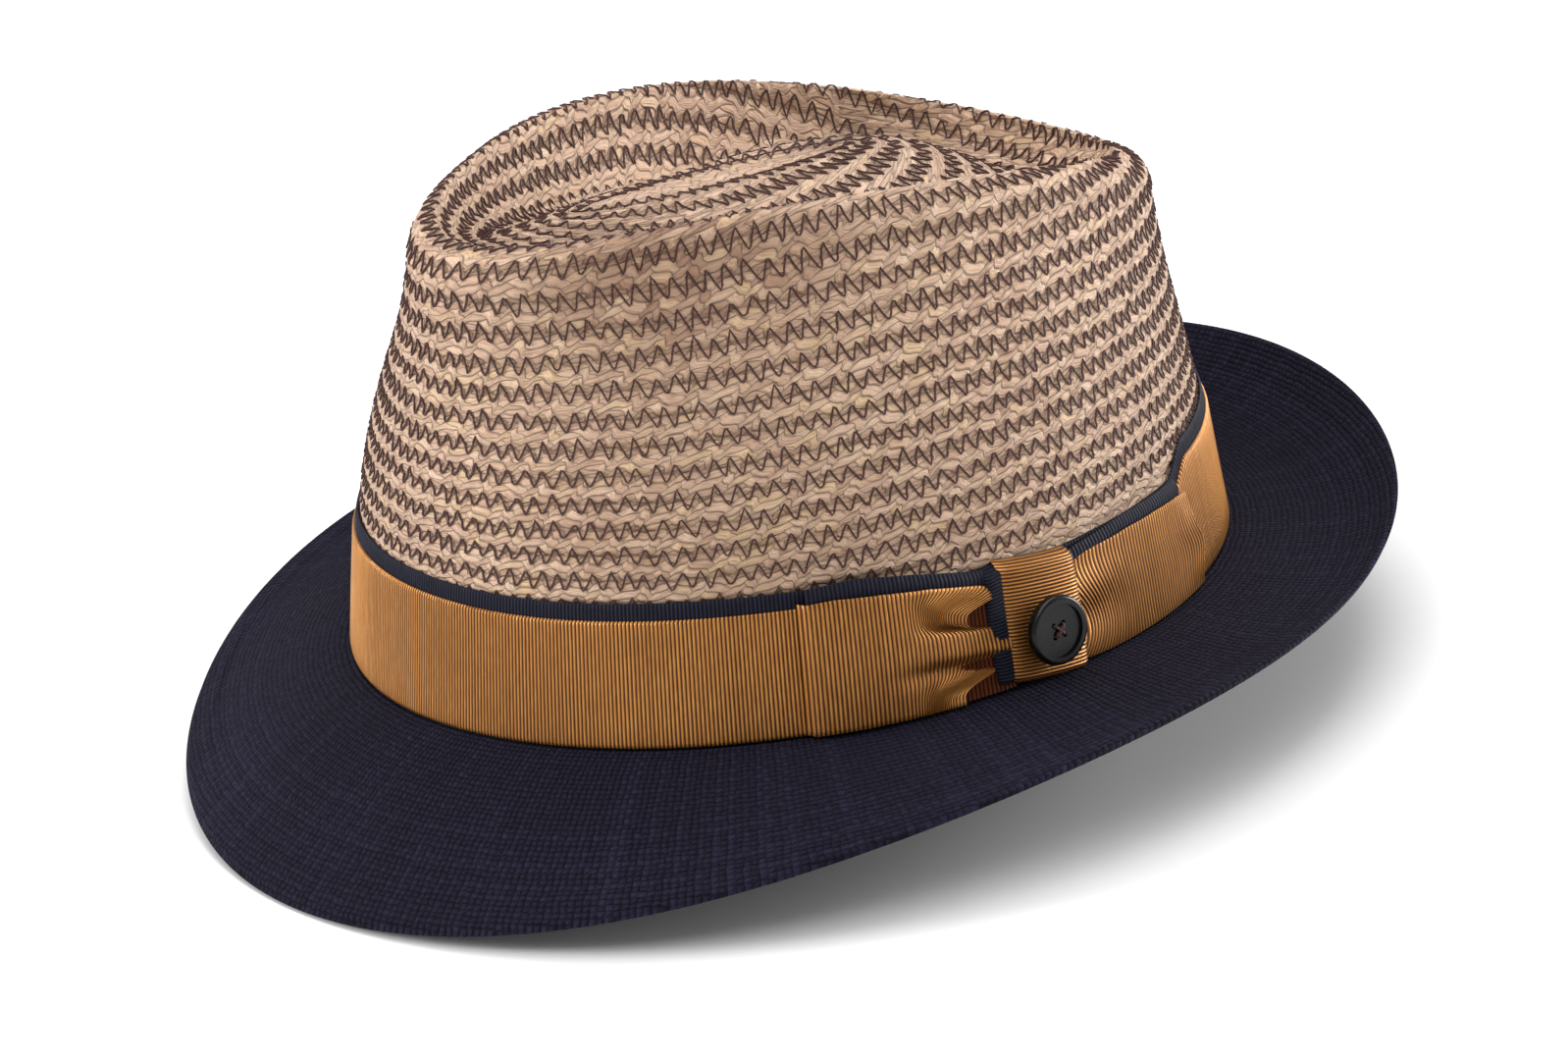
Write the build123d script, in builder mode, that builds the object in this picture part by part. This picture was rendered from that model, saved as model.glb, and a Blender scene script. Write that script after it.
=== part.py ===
from build123d import *

from math import cos, exp, pi, radians, sin, sqrt
from os import makedirs

# Frame: millimetres, +Z up, the front of the hat faces -Y and the wearer's left, where the
# bow sits, is +X.  The origin is the middle of the head opening, at the level where the
# brim breaks away from the crown.

# Crown, measured on the outside of the straw.
BASE_X = 85.5  # half width of the crown at the brim
BASE_Y = 101.5  # half length of the crown at the brim
LEAN_X = 0.116  # how fast the half width shrinks with height, low on the wall
LEAN_Y = 0.138  # how fast the half length shrinks with height, low on the wall
CONE_TOP = 32.0  # height up to which the wall is a plain leaning oval
CREST_X = 52.4  # half width of the crest line round the top
CREST_Y = 83.8  # half length of the crest line
CREST_BACK = 2.0  # how far the crest line's middle lies behind the origin
CREST_TEAR = 0.22  # how much wider the crest is behind its middle than in front
CREST_LEVEL = 93.7  # mean height of the crest
CREST_DROP = 10.9  # half the drop of the crest from front to back
CREST_BOW = 5.1  # rise of the crest at the two sides
SHOULDER_UP = 8.0  # height of the rounded shoulder
SHOULDER_OUT = 7.0  # how far the shoulder lies outside the crest
SIDE_HOLLOW = 1.7  # power by which the wall leaves the oval cone for the crest's plan
PINCH_DEPTH = 4.0  # depth of the finger dent on each side of the front
PINCH_AT = radians(-38.0)  # direction of the finger dent
PINCH_WIDE = radians(20.0)
CORE_X = 3.0  # half width of the innermost ring of the tip
CORE_Y = 36.0  # half length of the innermost ring
CORE_AT = -12.0  # its middle along the hat
CORE_LEVEL = 93.0  # height of the ridge over the origin
CORE_FALL = 0.083  # how fast the ridge falls towards the back
GROOVE_SIDE = 19.0  # depth of the groove round the ridge, at the sides
GROOVE_BACK = 8.0
GROOVE_FRONT = 3.0
STRAW = 1.8  # thickness of the sewn straw braid
CROWN_FOOT = 0.5  # height of the straw's lower edge above the brim's break
WALL_RINGS = 9
TIP_RINGS = 12
RING_POINTS = 48

# Brim.
BRIM_THICK = 1.4
BRIM_MEAN = 36.3  # mean width of the brim in plan
BRIM_LONG = 3.1  # extra width at the front and back, missing at the sides
BRIM_LEVEL = -4.8  # mean height of the edge
BRIM_TILT = 16.5  # rise of the edge towards the back, fall towards the front
BRIM_BOW = 3.2
BRIM_SNAP = -2.9
BRIM_CURL = 0.8
BRIM_START = 1.6  # how far outside the straw's oval the brim's curve starts
BRIM_SAG = 1.5  # dip across the middle of the brim
BRIM_BEND = 1.75  # power by which the brim bends down, and how much it grows towards the back
BRIM_BEND_BACK = 0.45
BRIM_SECTIONS = 18  # radial sections in each half of the brim
BRIM_STEPS = 7  # points across the brim in each section
COLLAR = 1.0  # thickness of the brim's upturned inner edge
COLLAR_HIGH = 9.0

# Ribbons, in layers outside the straw.
RIBBON = 0.5  # thickness of one grosgrain ribbon
GAP = 0.15  # clearance between neighbouring layers
NAVY_TOP = 30.6  # height of the navy ribbon's upper edge
GOLD_TOP = 27.2  # height of the gold ribbon's upper edge
RIBBON_FOOT = 0.5  # height of the lower edges

# Bow, given by directions seen from above, in degrees from +X towards +Y.
LOOP_FROM = -36.0
KNOT_MID = -4.2
KNOT_HALF = 5.4
TAIL_TO = 26.5
LOOP_THICK = 1.3
KNOT_THICK = 1.1
LOOP_STEP = 3.5  # how far behind the gold fold the navy loop starts
KNOT_TUCK = 0.4  # how far short of the knot's middle the loop and the tail end
KNOT_EDGE = 1.3  # the navy edge in front of the knot, from and to
KNOT_EDGE_END = 0.1
LOOP_NAVY_TOP = 30.2  # heights of the bow's upper edges
LOOP_GOLD_TOP = 27.6
TAIL_NAVY_TOP = 28.6
TAIL_GOLD_TOP = 25.4
KNOT_NAVY_TOP = 29.0
KNOT_GOLD_TOP = 30.2

# Button.
BUTTON_R = 7.4
BUTTON_THICK = 2.6
BUTTON_Z = 11.4
SHANK_R = 1.3
SHANK_LONG = 1.6
BUTTON_ROUND = 0.9  # rounding of the button's edges
BUTTON_RIM = 1.7  # width of its raised rim
BUTTON_DISH = 0.7  # depth of its face inside the rim
HOLE_SPACING = 2.6
HOLE_R = 0.55

# Sweatband.
SWEAT = 0.9
SWEAT_LOW = 1.2
SWEAT_HIGH = 32.0
REED_R = 0.9


def cone(turn, height, offset):
    """The leaning oval low on the wall, moved outwards by an offset."""
    half_x = BASE_X - LEAN_X * height + offset
    half_y = BASE_Y - LEAN_Y * height + offset
    return half_x * cos(turn), half_y * sin(turn)


def crest(turn, out):
    """The crest line in plan, widened by a distance: a teardrop, narrower in front."""
    wide = (CREST_X + out) * (1 + CREST_TEAR * sin(turn))
    return wide * cos(turn), CREST_BACK + (CREST_Y + out) * sin(turn)


def crest_height(turn):
    """High in front, low at the back, and a little higher at the sides between."""
    return CREST_LEVEL - CREST_DROP * sin(turn) + CREST_BOW * cos(2 * turn)


def pinch(turn, up):
    """Depth of the finger dents: a bell round each dent, faded out down the wall."""
    aims = (PINCH_AT, pi - PINCH_AT, -pi - PINCH_AT, 2 * pi + PINCH_AT)
    nearest = min(abs(turn - aim) for aim in aims)
    return PINCH_DEPTH * exp(-((nearest / PINCH_WIDE) ** 2)) * exp(-(((up - 0.85) / 0.28) ** 2))


def wall(turn, share):
    """Outer wall at a share of its height: the oval cone, then a blend to the crest's plan."""
    height = share * (crest_height(turn) - SHOULDER_UP)
    above = max(0.0, (height - CONE_TOP) / (crest_height(turn) - SHOULDER_UP - CONE_TOP))
    low = cone(turn, height, 0.0)
    high = crest(turn, SHOULDER_OUT)
    mix = above**SIDE_HOLLOW
    x, y = (a + (b - a) * mix for a, b in zip(low, high))
    inward = 1 - pinch(turn, above) / sqrt(x * x + y * y)
    return x * inward, y * inward, height


def shoulder(turn, share):
    """A quarter of an ellipse from the top of the wall over to the crest."""
    x0, y0, z0 = wall(turn, 1.0)
    x1, y1 = crest(turn, 0.0)
    bend = share * pi / 2
    return x1 + (x0 - x1) * cos(bend), y1 + (y0 - y1) * cos(bend), z0 + SHOULDER_UP * sin(bend)


def tip(turn, share):
    """From the crest in to the ridge's innermost ring, with a groove all round the ridge."""
    x1, y1 = crest(turn, 0.0)
    x0, y0 = CORE_X * cos(turn), CORE_AT + CORE_Y * sin(turn)
    back = max(0.0, sin(turn))
    front = max(0.0, -sin(turn))
    depth = GROOVE_SIDE * cos(turn) ** 2 + GROOVE_BACK * back**2 + GROOVE_FRONT * front**2
    where = share ** (0.55 - 0.2 * back)
    ease = share * share * (3 - 2 * share)
    ridge = CORE_LEVEL - CORE_FALL * y0
    height = crest_height(turn) * (1 - ease) + ridge * ease - depth * sin(pi * where) ** 2
    return x1 + (x0 - x1) * share, y1 + (y0 - y1) * share, height


def skin(turn, run):
    """Outer skin of the crown: run 0 to 1 is wall, to 2 shoulder, to 3 tip."""
    if run <= 1:
        return wall(turn, run)
    if run <= 2:
        return shoulder(turn, run - 1)
    return tip(turn, run - 2)


def sunk(turn, run, depth):
    """A point below the outer skin, along the skin's own normal."""
    step = 1e-3
    here = Vector(*skin(turn, run))
    across = Vector(*skin(turn + step, run)) - Vector(*skin(turn - step, run))
    lower = max(0.0, run - 10 * step)
    upper = min(3.0, run + 10 * step)
    along = Vector(*skin(turn, upper)) - Vector(*skin(turn, lower))
    return here - across.cross(along).normalized() * depth


def runs():
    """Where the crown's rings lie: even on the wall, close over the shoulder, then in over the tip."""
    lower = [i / WALL_RINGS for i in range(WALL_RINGS)]
    bend = [1.0, 1.35, 1.7]
    inner = [2 + (i / TIP_RINGS) ** 1.2 for i in range(1, TIP_RINGS + 1)]
    return lower + bend + inner


def ring(points):
    """A closed smooth wire through points."""
    return Wire([Edge.make_spline([Vector(*p) for p in points], periodic=True)])


def turns():
    return [2 * pi * i / RING_POINTS for i in range(RING_POINTS)]


def flat_ring(run, depth, level_from):
    """A ring of the skin; the first and last ones are laid in a plane so they can be capped."""
    points = [sunk(t, run, depth) for t in turns()]
    if run >= 3:
        return ring([(p.X, p.Y, CORE_LEVEL - depth - CORE_FALL * p.Y) for p in points])
    if run <= 0:
        return ring([(*cone(t, 0.0, -depth)[:2], level_from) for t in turns()])
    return ring([(p.X, p.Y, p.Z) for p in points])


def crown_solid(depth, level_from):
    """The solid inside a skin of the crown."""
    return Solid.make_loft([flat_ring(run, depth, level_from) for run in runs()])


def oval(height, offset):
    """Half width and half length of the cone at a height, for an ellipse."""
    return BASE_X - LEAN_X * height + offset, BASE_Y - LEAN_Y * height + offset


def sleeve(low, high, inner, outer):
    """An oval sleeve that follows the wall, between two heights and two offsets."""
    with BuildPart() as made:
        for offset, mode in ((outer, Mode.ADD), (inner, Mode.SUBTRACT)):
            with BuildSketch(Plane.XY.offset(low)):
                Ellipse(*oval(low, offset))
            with BuildSketch(Plane.XY.offset(high)):
                Ellipse(*oval(high, offset))
            loft(mode=mode)
    return made.part


def sector(start, end, low, high, inner, outer):
    """The part of a sleeve between two directions, in degrees."""
    reach = 140.0
    with BuildPart(mode=Mode.PRIVATE) as wedge:
        with BuildSketch(Plane.XY.offset(low - 1)):
            with BuildLine():
                Polyline(
                    (0, 0),
                    (reach * cos(radians(start)), reach * sin(radians(start))),
                    (reach * cos(radians((start + end) / 2)), reach * sin(radians((start + end) / 2))),
                    (reach * cos(radians(end)), reach * sin(radians(end))),
                    close=True,
                )
            make_face()
        extrude(amount=high - low + 2)
    return sleeve(low, high, inner, outer).intersect(wedge.part)


def brim_edge(turn):
    """Width of the brim in plan and height of its edge in one direction."""
    width = BRIM_MEAN - BRIM_LONG * cos(2 * turn)
    height = BRIM_LEVEL + BRIM_TILT * sin(turn) + BRIM_BOW * cos(2 * turn)
    return width, height + BRIM_SNAP * sin(3 * turn) + BRIM_CURL * cos(4 * turn)


def brim_top(turn, share):
    """Upper face: bends down early in front, dips and then curls up late at the back."""
    width, edge = brim_edge(turn)
    x0, y0 = cone(turn, 0.0, BRIM_START)
    power = BRIM_BEND + BRIM_BEND_BACK * sin(turn)
    sag = BRIM_SAG * (1 + sin(turn)) * 4 * share * (1 - share)
    height = edge * share**power - sag * share
    return x0 + width * share * cos(turn), y0 + width * share * sin(turn), height


def brim_section(turn):
    """A radial section through the brim, as a closed wire in an upright plane."""
    start = cone(turn, 0.0, -STRAW - GAP - COLLAR)
    shares = [i / BRIM_STEPS for i in range(BRIM_STEPS + 1)]
    top = [Vector(*start, 0.0)] + [Vector(*brim_top(turn, s)) for s in shares]
    low = [p - Vector(0, 0, BRIM_THICK) for p in top]
    edges = [Edge.make_spline(top), Edge.make_line(top[-1], low[-1])]
    edges += [Edge.make_spline(low[::-1]), Edge.make_line(low[0], top[0])]
    return Wire(edges)


def half_brim(first):
    """Half of the brim, lofted through radial sections from one direction round to its opposite."""
    return Solid.make_loft([brim_section(first + pi * i / BRIM_SECTIONS) for i in range(BRIM_SECTIONS + 1)])


def save(shape, name):
    shape.label = name
    export_step(shape, f"parts/{name}.step")


makedirs("parts", exist_ok=True)

# Layers outside the straw: navy ribbon, gold ribbon, navy bow, gold bow, knot.
NAVY_IN = GAP + 0.1
NAVY_OUT = NAVY_IN + RIBBON
GOLD_IN = NAVY_OUT + GAP
GOLD_OUT = GOLD_IN + RIBBON
EDGE_IN = GOLD_OUT + GAP
EDGE_OUT = EDGE_IN + RIBBON
LOOP_IN = EDGE_OUT + GAP
LOOP_OUT = LOOP_IN + LOOP_THICK
WRAP_IN = LOOP_OUT + GAP
WRAP_OUT = WRAP_IN + KNOT_THICK
BUTTON_AT = WRAP_OUT + GAP + SHANK_LONG

# Straw crown: a shell between two skins.
with BuildPart() as crown:
    add(crown_solid(0.0, CROWN_FOOT))
    add(crown_solid(STRAW, -3.0), mode=Mode.SUBTRACT)
save(crown.part, "crown")

# Brim cloth with its collar turned up inside the straw.
with BuildPart() as brim:
    add(half_brim(0.0))
    add(half_brim(pi))
    add(sleeve(-0.5, COLLAR_HIGH, -STRAW - GAP - COLLAR, -STRAW - GAP))
save(brim.part, "brim")

# Ribbons round the crown.
with BuildPart() as band_navy:
    add(sleeve(RIBBON_FOOT, NAVY_TOP, NAVY_IN, NAVY_OUT))
save(band_navy.part, "band_navy")

with BuildPart() as band_gold:
    add(sleeve(RIBBON_FOOT, GOLD_TOP, GOLD_IN, GOLD_OUT))
save(band_gold.part, "band_gold")

# Bow: a folded loop in front of the knot and a tail behind it, each navy under gold.
KNOT_FROM = KNOT_MID - KNOT_HALF
KNOT_TO = KNOT_MID + KNOT_HALF

with BuildPart() as loop_navy:
    add(sector(LOOP_FROM + LOOP_STEP, KNOT_MID - KNOT_TUCK, RIBBON_FOOT, LOOP_NAVY_TOP, EDGE_IN, EDGE_OUT))
save(loop_navy.part, "loop_navy")

with BuildPart() as loop_gold:
    add(sector(LOOP_FROM, KNOT_MID - KNOT_TUCK, RIBBON_FOOT, LOOP_GOLD_TOP, LOOP_IN, LOOP_OUT))
save(loop_gold.part, "loop_gold")

with BuildPart() as tail_navy:
    add(sector(KNOT_MID + KNOT_TUCK, TAIL_TO, RIBBON_FOOT, TAIL_NAVY_TOP, EDGE_IN, EDGE_OUT))
save(tail_navy.part, "tail_navy")

with BuildPart() as tail_gold:
    add(sector(KNOT_MID + KNOT_TUCK, TAIL_TO, RIBBON_FOOT, TAIL_GOLD_TOP, LOOP_IN, LOOP_OUT))
save(tail_gold.part, "tail_gold")

# Knot: a gold ribbon wrapped upright over both, with a navy ribbon showing at its front edge.
with BuildPart() as knot_navy:
    edge_from = KNOT_FROM - KNOT_EDGE
    edge_to = KNOT_FROM - KNOT_EDGE_END
    add(sector(edge_from, edge_to, RIBBON_FOOT, KNOT_NAVY_TOP, WRAP_IN, WRAP_OUT - KNOT_TUCK))
save(knot_navy.part, "knot_navy")

with BuildPart() as knot_gold:
    add(sector(KNOT_FROM, KNOT_TO, RIBBON_FOOT, KNOT_GOLD_TOP, WRAP_IN, WRAP_OUT))
save(knot_gold.part, "knot_gold")

# Button, standing on its thread shank on the face of the knot.
face_x, face_y = cone(radians(KNOT_MID), BUTTON_Z, WRAP_OUT)
lean = Vector(face_x / oval(BUTTON_Z, WRAP_OUT)[0] ** 2, face_y / oval(BUTTON_Z, WRAP_OUT)[1] ** 2, 0)
outward = (lean.normalized() + Vector(0, 0, LEAN_X)).normalized()
seat = Plane(origin=(face_x, face_y, BUTTON_Z), x_dir=(0, 0, 1), z_dir=outward)

with BuildPart() as button_shank:
    with BuildSketch(seat.offset(GAP)):
        Circle(SHANK_R)
    extrude(amount=SHANK_LONG - 2 * GAP)
save(button_shank.part, "button_shank")

with BuildPart() as button:
    with BuildSketch(seat.offset(SHANK_LONG)):
        Circle(BUTTON_R)
    extrude(amount=BUTTON_THICK)
    fillet(button.edges(), BUTTON_ROUND)
    with BuildSketch(seat.offset(SHANK_LONG + BUTTON_THICK - BUTTON_DISH)):
        Circle(BUTTON_R - BUTTON_RIM)
    extrude(amount=BUTTON_THICK, mode=Mode.SUBTRACT)
    with BuildSketch(seat.offset(SHANK_LONG - 1)):
        with GridLocations(HOLE_SPACING, HOLE_SPACING, 2, 2):
            Circle(HOLE_R)
    extrude(amount=BUTTON_THICK + 2, mode=Mode.SUBTRACT)
save(button.part, "button")

# Sweatband inside the opening, with a reed in the welt along its lower edge.
SWEAT_OUT = -STRAW - 2 * GAP - COLLAR
with BuildPart() as sweatband:
    add(sleeve(SWEAT_LOW, SWEAT_HIGH, SWEAT_OUT - SWEAT, SWEAT_OUT))
save(sweatband.part, "sweatband")

with BuildPart() as reed:
    half_x, half_y = oval(0.0, SWEAT_OUT - REED_R)
    with BuildLine() as path:
        EllipticalCenterArc((0, 0), half_x, half_y, start_angle=0, arc_size=360)
    with BuildSketch(Plane(origin=(half_x, 0, 0), x_dir=(1, 0, 0), z_dir=(0, 1, 0))):
        Circle(REED_R)
    sweep()
    reed.part = Pos(0, 0, SWEAT_LOW - GAP - REED_R) * reed.part
save(reed.part, "sweatband_reed")
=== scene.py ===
import logging
import math
from dataclasses import dataclass, field
from enum import Enum

import bmesh
import bpy
import numpy as np
from mathutils import Matrix, Vector
from numpy.typing import NDArray


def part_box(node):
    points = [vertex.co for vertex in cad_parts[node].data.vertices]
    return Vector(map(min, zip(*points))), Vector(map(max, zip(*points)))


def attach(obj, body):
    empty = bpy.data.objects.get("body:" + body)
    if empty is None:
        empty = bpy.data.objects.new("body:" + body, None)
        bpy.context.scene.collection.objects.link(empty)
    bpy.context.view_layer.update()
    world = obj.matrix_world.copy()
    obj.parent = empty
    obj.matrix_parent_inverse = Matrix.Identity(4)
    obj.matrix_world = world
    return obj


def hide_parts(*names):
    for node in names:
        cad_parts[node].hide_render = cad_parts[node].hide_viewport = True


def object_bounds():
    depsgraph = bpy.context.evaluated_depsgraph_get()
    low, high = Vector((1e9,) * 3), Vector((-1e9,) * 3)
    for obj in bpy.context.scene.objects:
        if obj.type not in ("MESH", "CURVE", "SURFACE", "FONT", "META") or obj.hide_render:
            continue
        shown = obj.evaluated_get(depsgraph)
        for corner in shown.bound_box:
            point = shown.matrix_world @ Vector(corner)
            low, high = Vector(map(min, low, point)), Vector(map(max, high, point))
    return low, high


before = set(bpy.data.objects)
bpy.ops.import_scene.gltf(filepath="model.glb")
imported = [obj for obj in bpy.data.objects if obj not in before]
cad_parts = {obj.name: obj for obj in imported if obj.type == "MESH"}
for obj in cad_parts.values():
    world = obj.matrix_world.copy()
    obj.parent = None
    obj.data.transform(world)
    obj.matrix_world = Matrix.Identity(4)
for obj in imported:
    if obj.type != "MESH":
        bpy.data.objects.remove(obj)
CAD_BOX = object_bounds()
LOG = logging.getLogger("hat")

Array = NDArray[np.float64]
Piece = bpy.types.Object
Material = bpy.types.Material
Socket = bpy.types.NodeSocket
Colour = tuple[float, float, float, float]
Marks = tuple[tuple[float, float], ...]
MM = 0.001  # lengths below are millimetres, and meshes are metres
TURN = 2.0 * math.pi


class Body(Enum):
    """The two bodies of the hat that pieces ride on."""

    HAT = "hat"
    BUTTON = "button"


class Slot(Enum):
    """The record's material slots, one carried by each ribbon piece."""

    STRAW = "straw"
    BRIM = "brim_cloth"
    NAVY = "navy_ribbon"
    GOLD = "gold_ribbon"
    BUTTON = "button_plastic"
    THREAD = "thread"
    SWEAT = "sweat_cotton"
    WELT = "welt"


def smooth(low: float, high: float, value: Array) -> Array:
    """An S-shaped step: 3x^2 - 2x^3 of the value's share of the way from low to high.

    Args:
        low: where the step starts.
        high: where the step ends.
        value: positions at which the step is wanted.

    Returns:
        0 before low, 1 after high.
    """
    share = np.clip((value - low) / (high - low), 0.0, 1.0)
    return share * share * (3.0 - 2.0 * share)


def unit(vectors: Array) -> Array:
    """Vectors divided by their own lengths."""
    return vectors / np.maximum(np.linalg.norm(vectors, axis=-1, keepdims=True), 1e-12)


def grid_normals(points: Array, wrap: bool) -> Array:
    """Unit normals of a grid: the cross product of its two central differences.

    Args:
        points: rows by columns by 3; where wrap is true the last column repeats the first.
        wrap: whether the columns close on themselves.

    Returns:
        Normals of the same shape.
    """
    along = np.gradient(points, axis=1)
    if wrap:
        ends = points[:, 1] - points[:, -2]
        along[:, 0] = ends / 2.0
        along[:, -1] = ends / 2.0
    across = np.gradient(points, axis=0)
    return unit(np.cross(along, across))


def run_length(points: Array) -> Array:
    """Distance along axis 1 of a grid: the running sum of the steps' lengths."""
    steps = np.linalg.norm(np.diff(points, axis=1), axis=-1)
    return np.concatenate([np.zeros((len(points), 1)), np.cumsum(steps, axis=1)], axis=1)


def add_mesh(name: str, points: Array, uv: Array, wrap_columns: bool, wrap_rows: bool) -> Piece:
    """Lays a grid of points as quads, outward side out, with a UV for each face corner.

    The outward side comes from the sign of the enclosed volume, the sum over triangles of the
    triple product of their corners. Doubled points at collapsed ends are welded.

    Args:
        name: the piece's name.
        points: rows by columns by 3, in millimetres; a wrapped axis repeats its first line.
        uv: rows by columns by 2.
        wrap_columns: whether the columns close on themselves.
        wrap_rows: whether the rows close on themselves.

    Returns:
        The new object, smooth shaded.
    """
    rows, cols = points.shape[:2]
    keep_rows, keep_cols = rows - int(wrap_rows), cols - int(wrap_columns)
    i, j = np.meshgrid(np.arange(rows - 1), np.arange(cols - 1), indexing="ij")
    steps = ((0, 0), (0, 1), (1, 1), (1, 0))
    quads = np.stack([((i + a) % keep_rows) * keep_cols + (j + b) % keep_cols for a, b in steps], -1)
    corners = np.stack([uv[i + a, j + b] for a, b in steps], -2)
    quads, corners = quads.reshape(-1, 4), corners.reshape(-1, 4, 2)
    flat = points[:keep_rows, :keep_cols].reshape(-1, 3) * MM
    a, b, c, d = (flat[quads[:, k]] for k in range(4))
    volume = (a * np.cross(b, c)).sum() + (a * np.cross(c, d)).sum()
    if volume < 0:
        quads, corners = quads[:, ::-1], corners[:, ::-1]
    mesh = bpy.data.meshes.new(name)
    mesh.vertices.add(len(flat))
    mesh.vertices.foreach_set("co", flat.ravel())
    mesh.loops.add(quads.size)
    mesh.loops.foreach_set("vertex_index", np.ascontiguousarray(quads).ravel().astype(np.int32))
    mesh.polygons.add(len(quads))
    mesh.polygons.foreach_set("loop_start", np.arange(0, quads.size, 4, dtype=np.int32))
    layer = mesh.uv_layers.new(name="lay")
    layer.uv.foreach_set("vector", np.ascontiguousarray(corners).ravel().astype(np.float32))
    mesh.update(calc_edges=True)
    mesh.validate()
    work = bmesh.new()
    work.from_mesh(mesh)
    bmesh.ops.remove_doubles(work, verts=work.verts, dist=2e-6)
    bmesh.ops.dissolve_degenerate(work, dist=1e-7, edges=work.edges)
    work.to_mesh(mesh)
    work.free()
    mesh.shade_smooth()
    mesh.set_sharp_from_angle(angle=math.radians(62.0))
    piece = bpy.data.objects.new(name, mesh)
    bpy.context.collection.objects.link(piece)
    return piece


def settle(piece: Piece, finish: Material, body: Body = Body.HAT) -> None:
    """Gives a piece its finish, puts it on its body and reports it.

    Args:
        piece: the new piece.
        finish: its material.
        body: the body that it rides on.
    """
    piece.data.materials.clear()
    piece.data.materials.append(finish)
    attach(piece, body.value)
    LOG.info("%s: %d faces on %s", piece.name, len(piece.data.polygons), body.value)


def slab(face: Array, normal: Array, thick: Array | float, uv: Array) -> tuple[Array, Array]:
    """A closed section of a sheet: the face's rows, then the back's rows in reverse, then the first again.

    Args:
        face: outer points, rows by columns by 3.
        normal: outward normals of the face.
        thick: thickness, one number or one for each point.
        uv: the face's UV.

    Returns:
        Points and UV of the closed section.
    """
    depth = np.broadcast_to(thick, face.shape[:2])[..., None]
    back = face - normal * depth
    points = np.concatenate([face, back[::-1], face[:1]], axis=0)
    return points, np.concatenate([uv, uv[::-1], uv[:1]], axis=0)


def tube(name: str, points: Array, outward: Array, size: Array, gone: Array, angle: Array,
         squash: float = 1.0) -> Piece:
    """Carries a circle along a thread: its plane is spanned by the side and the outward direction.

    Args:
        name: the piece's name.
        points: points of the thread.
        outward: the direction that faces away from the cloth, one or one for each point.
        size: radius at each point, nothing at both ends.
        gone: distance along the thread, for its UV.
        angle: angles of the circle's corners, the last one whole turn on from the first.
        squash: the circle's height over its width.

    Returns:
        The closed tube.
    """
    along = unit(np.gradient(points, axis=0))
    side = unit(np.cross(along, outward))
    up = np.cross(side, along) * squash
    rim = side[:, None] * np.cos(angle)[None, :, None] + up[:, None] * np.sin(angle)[None, :, None]
    uv = np.stack(np.broadcast_arrays(gone[:, None], np.linspace(0, 1, len(angle))[None]), -1)
    return add_mesh(name, points[:, None] + rim * size[:, None, None], uv, True, False)


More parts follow.
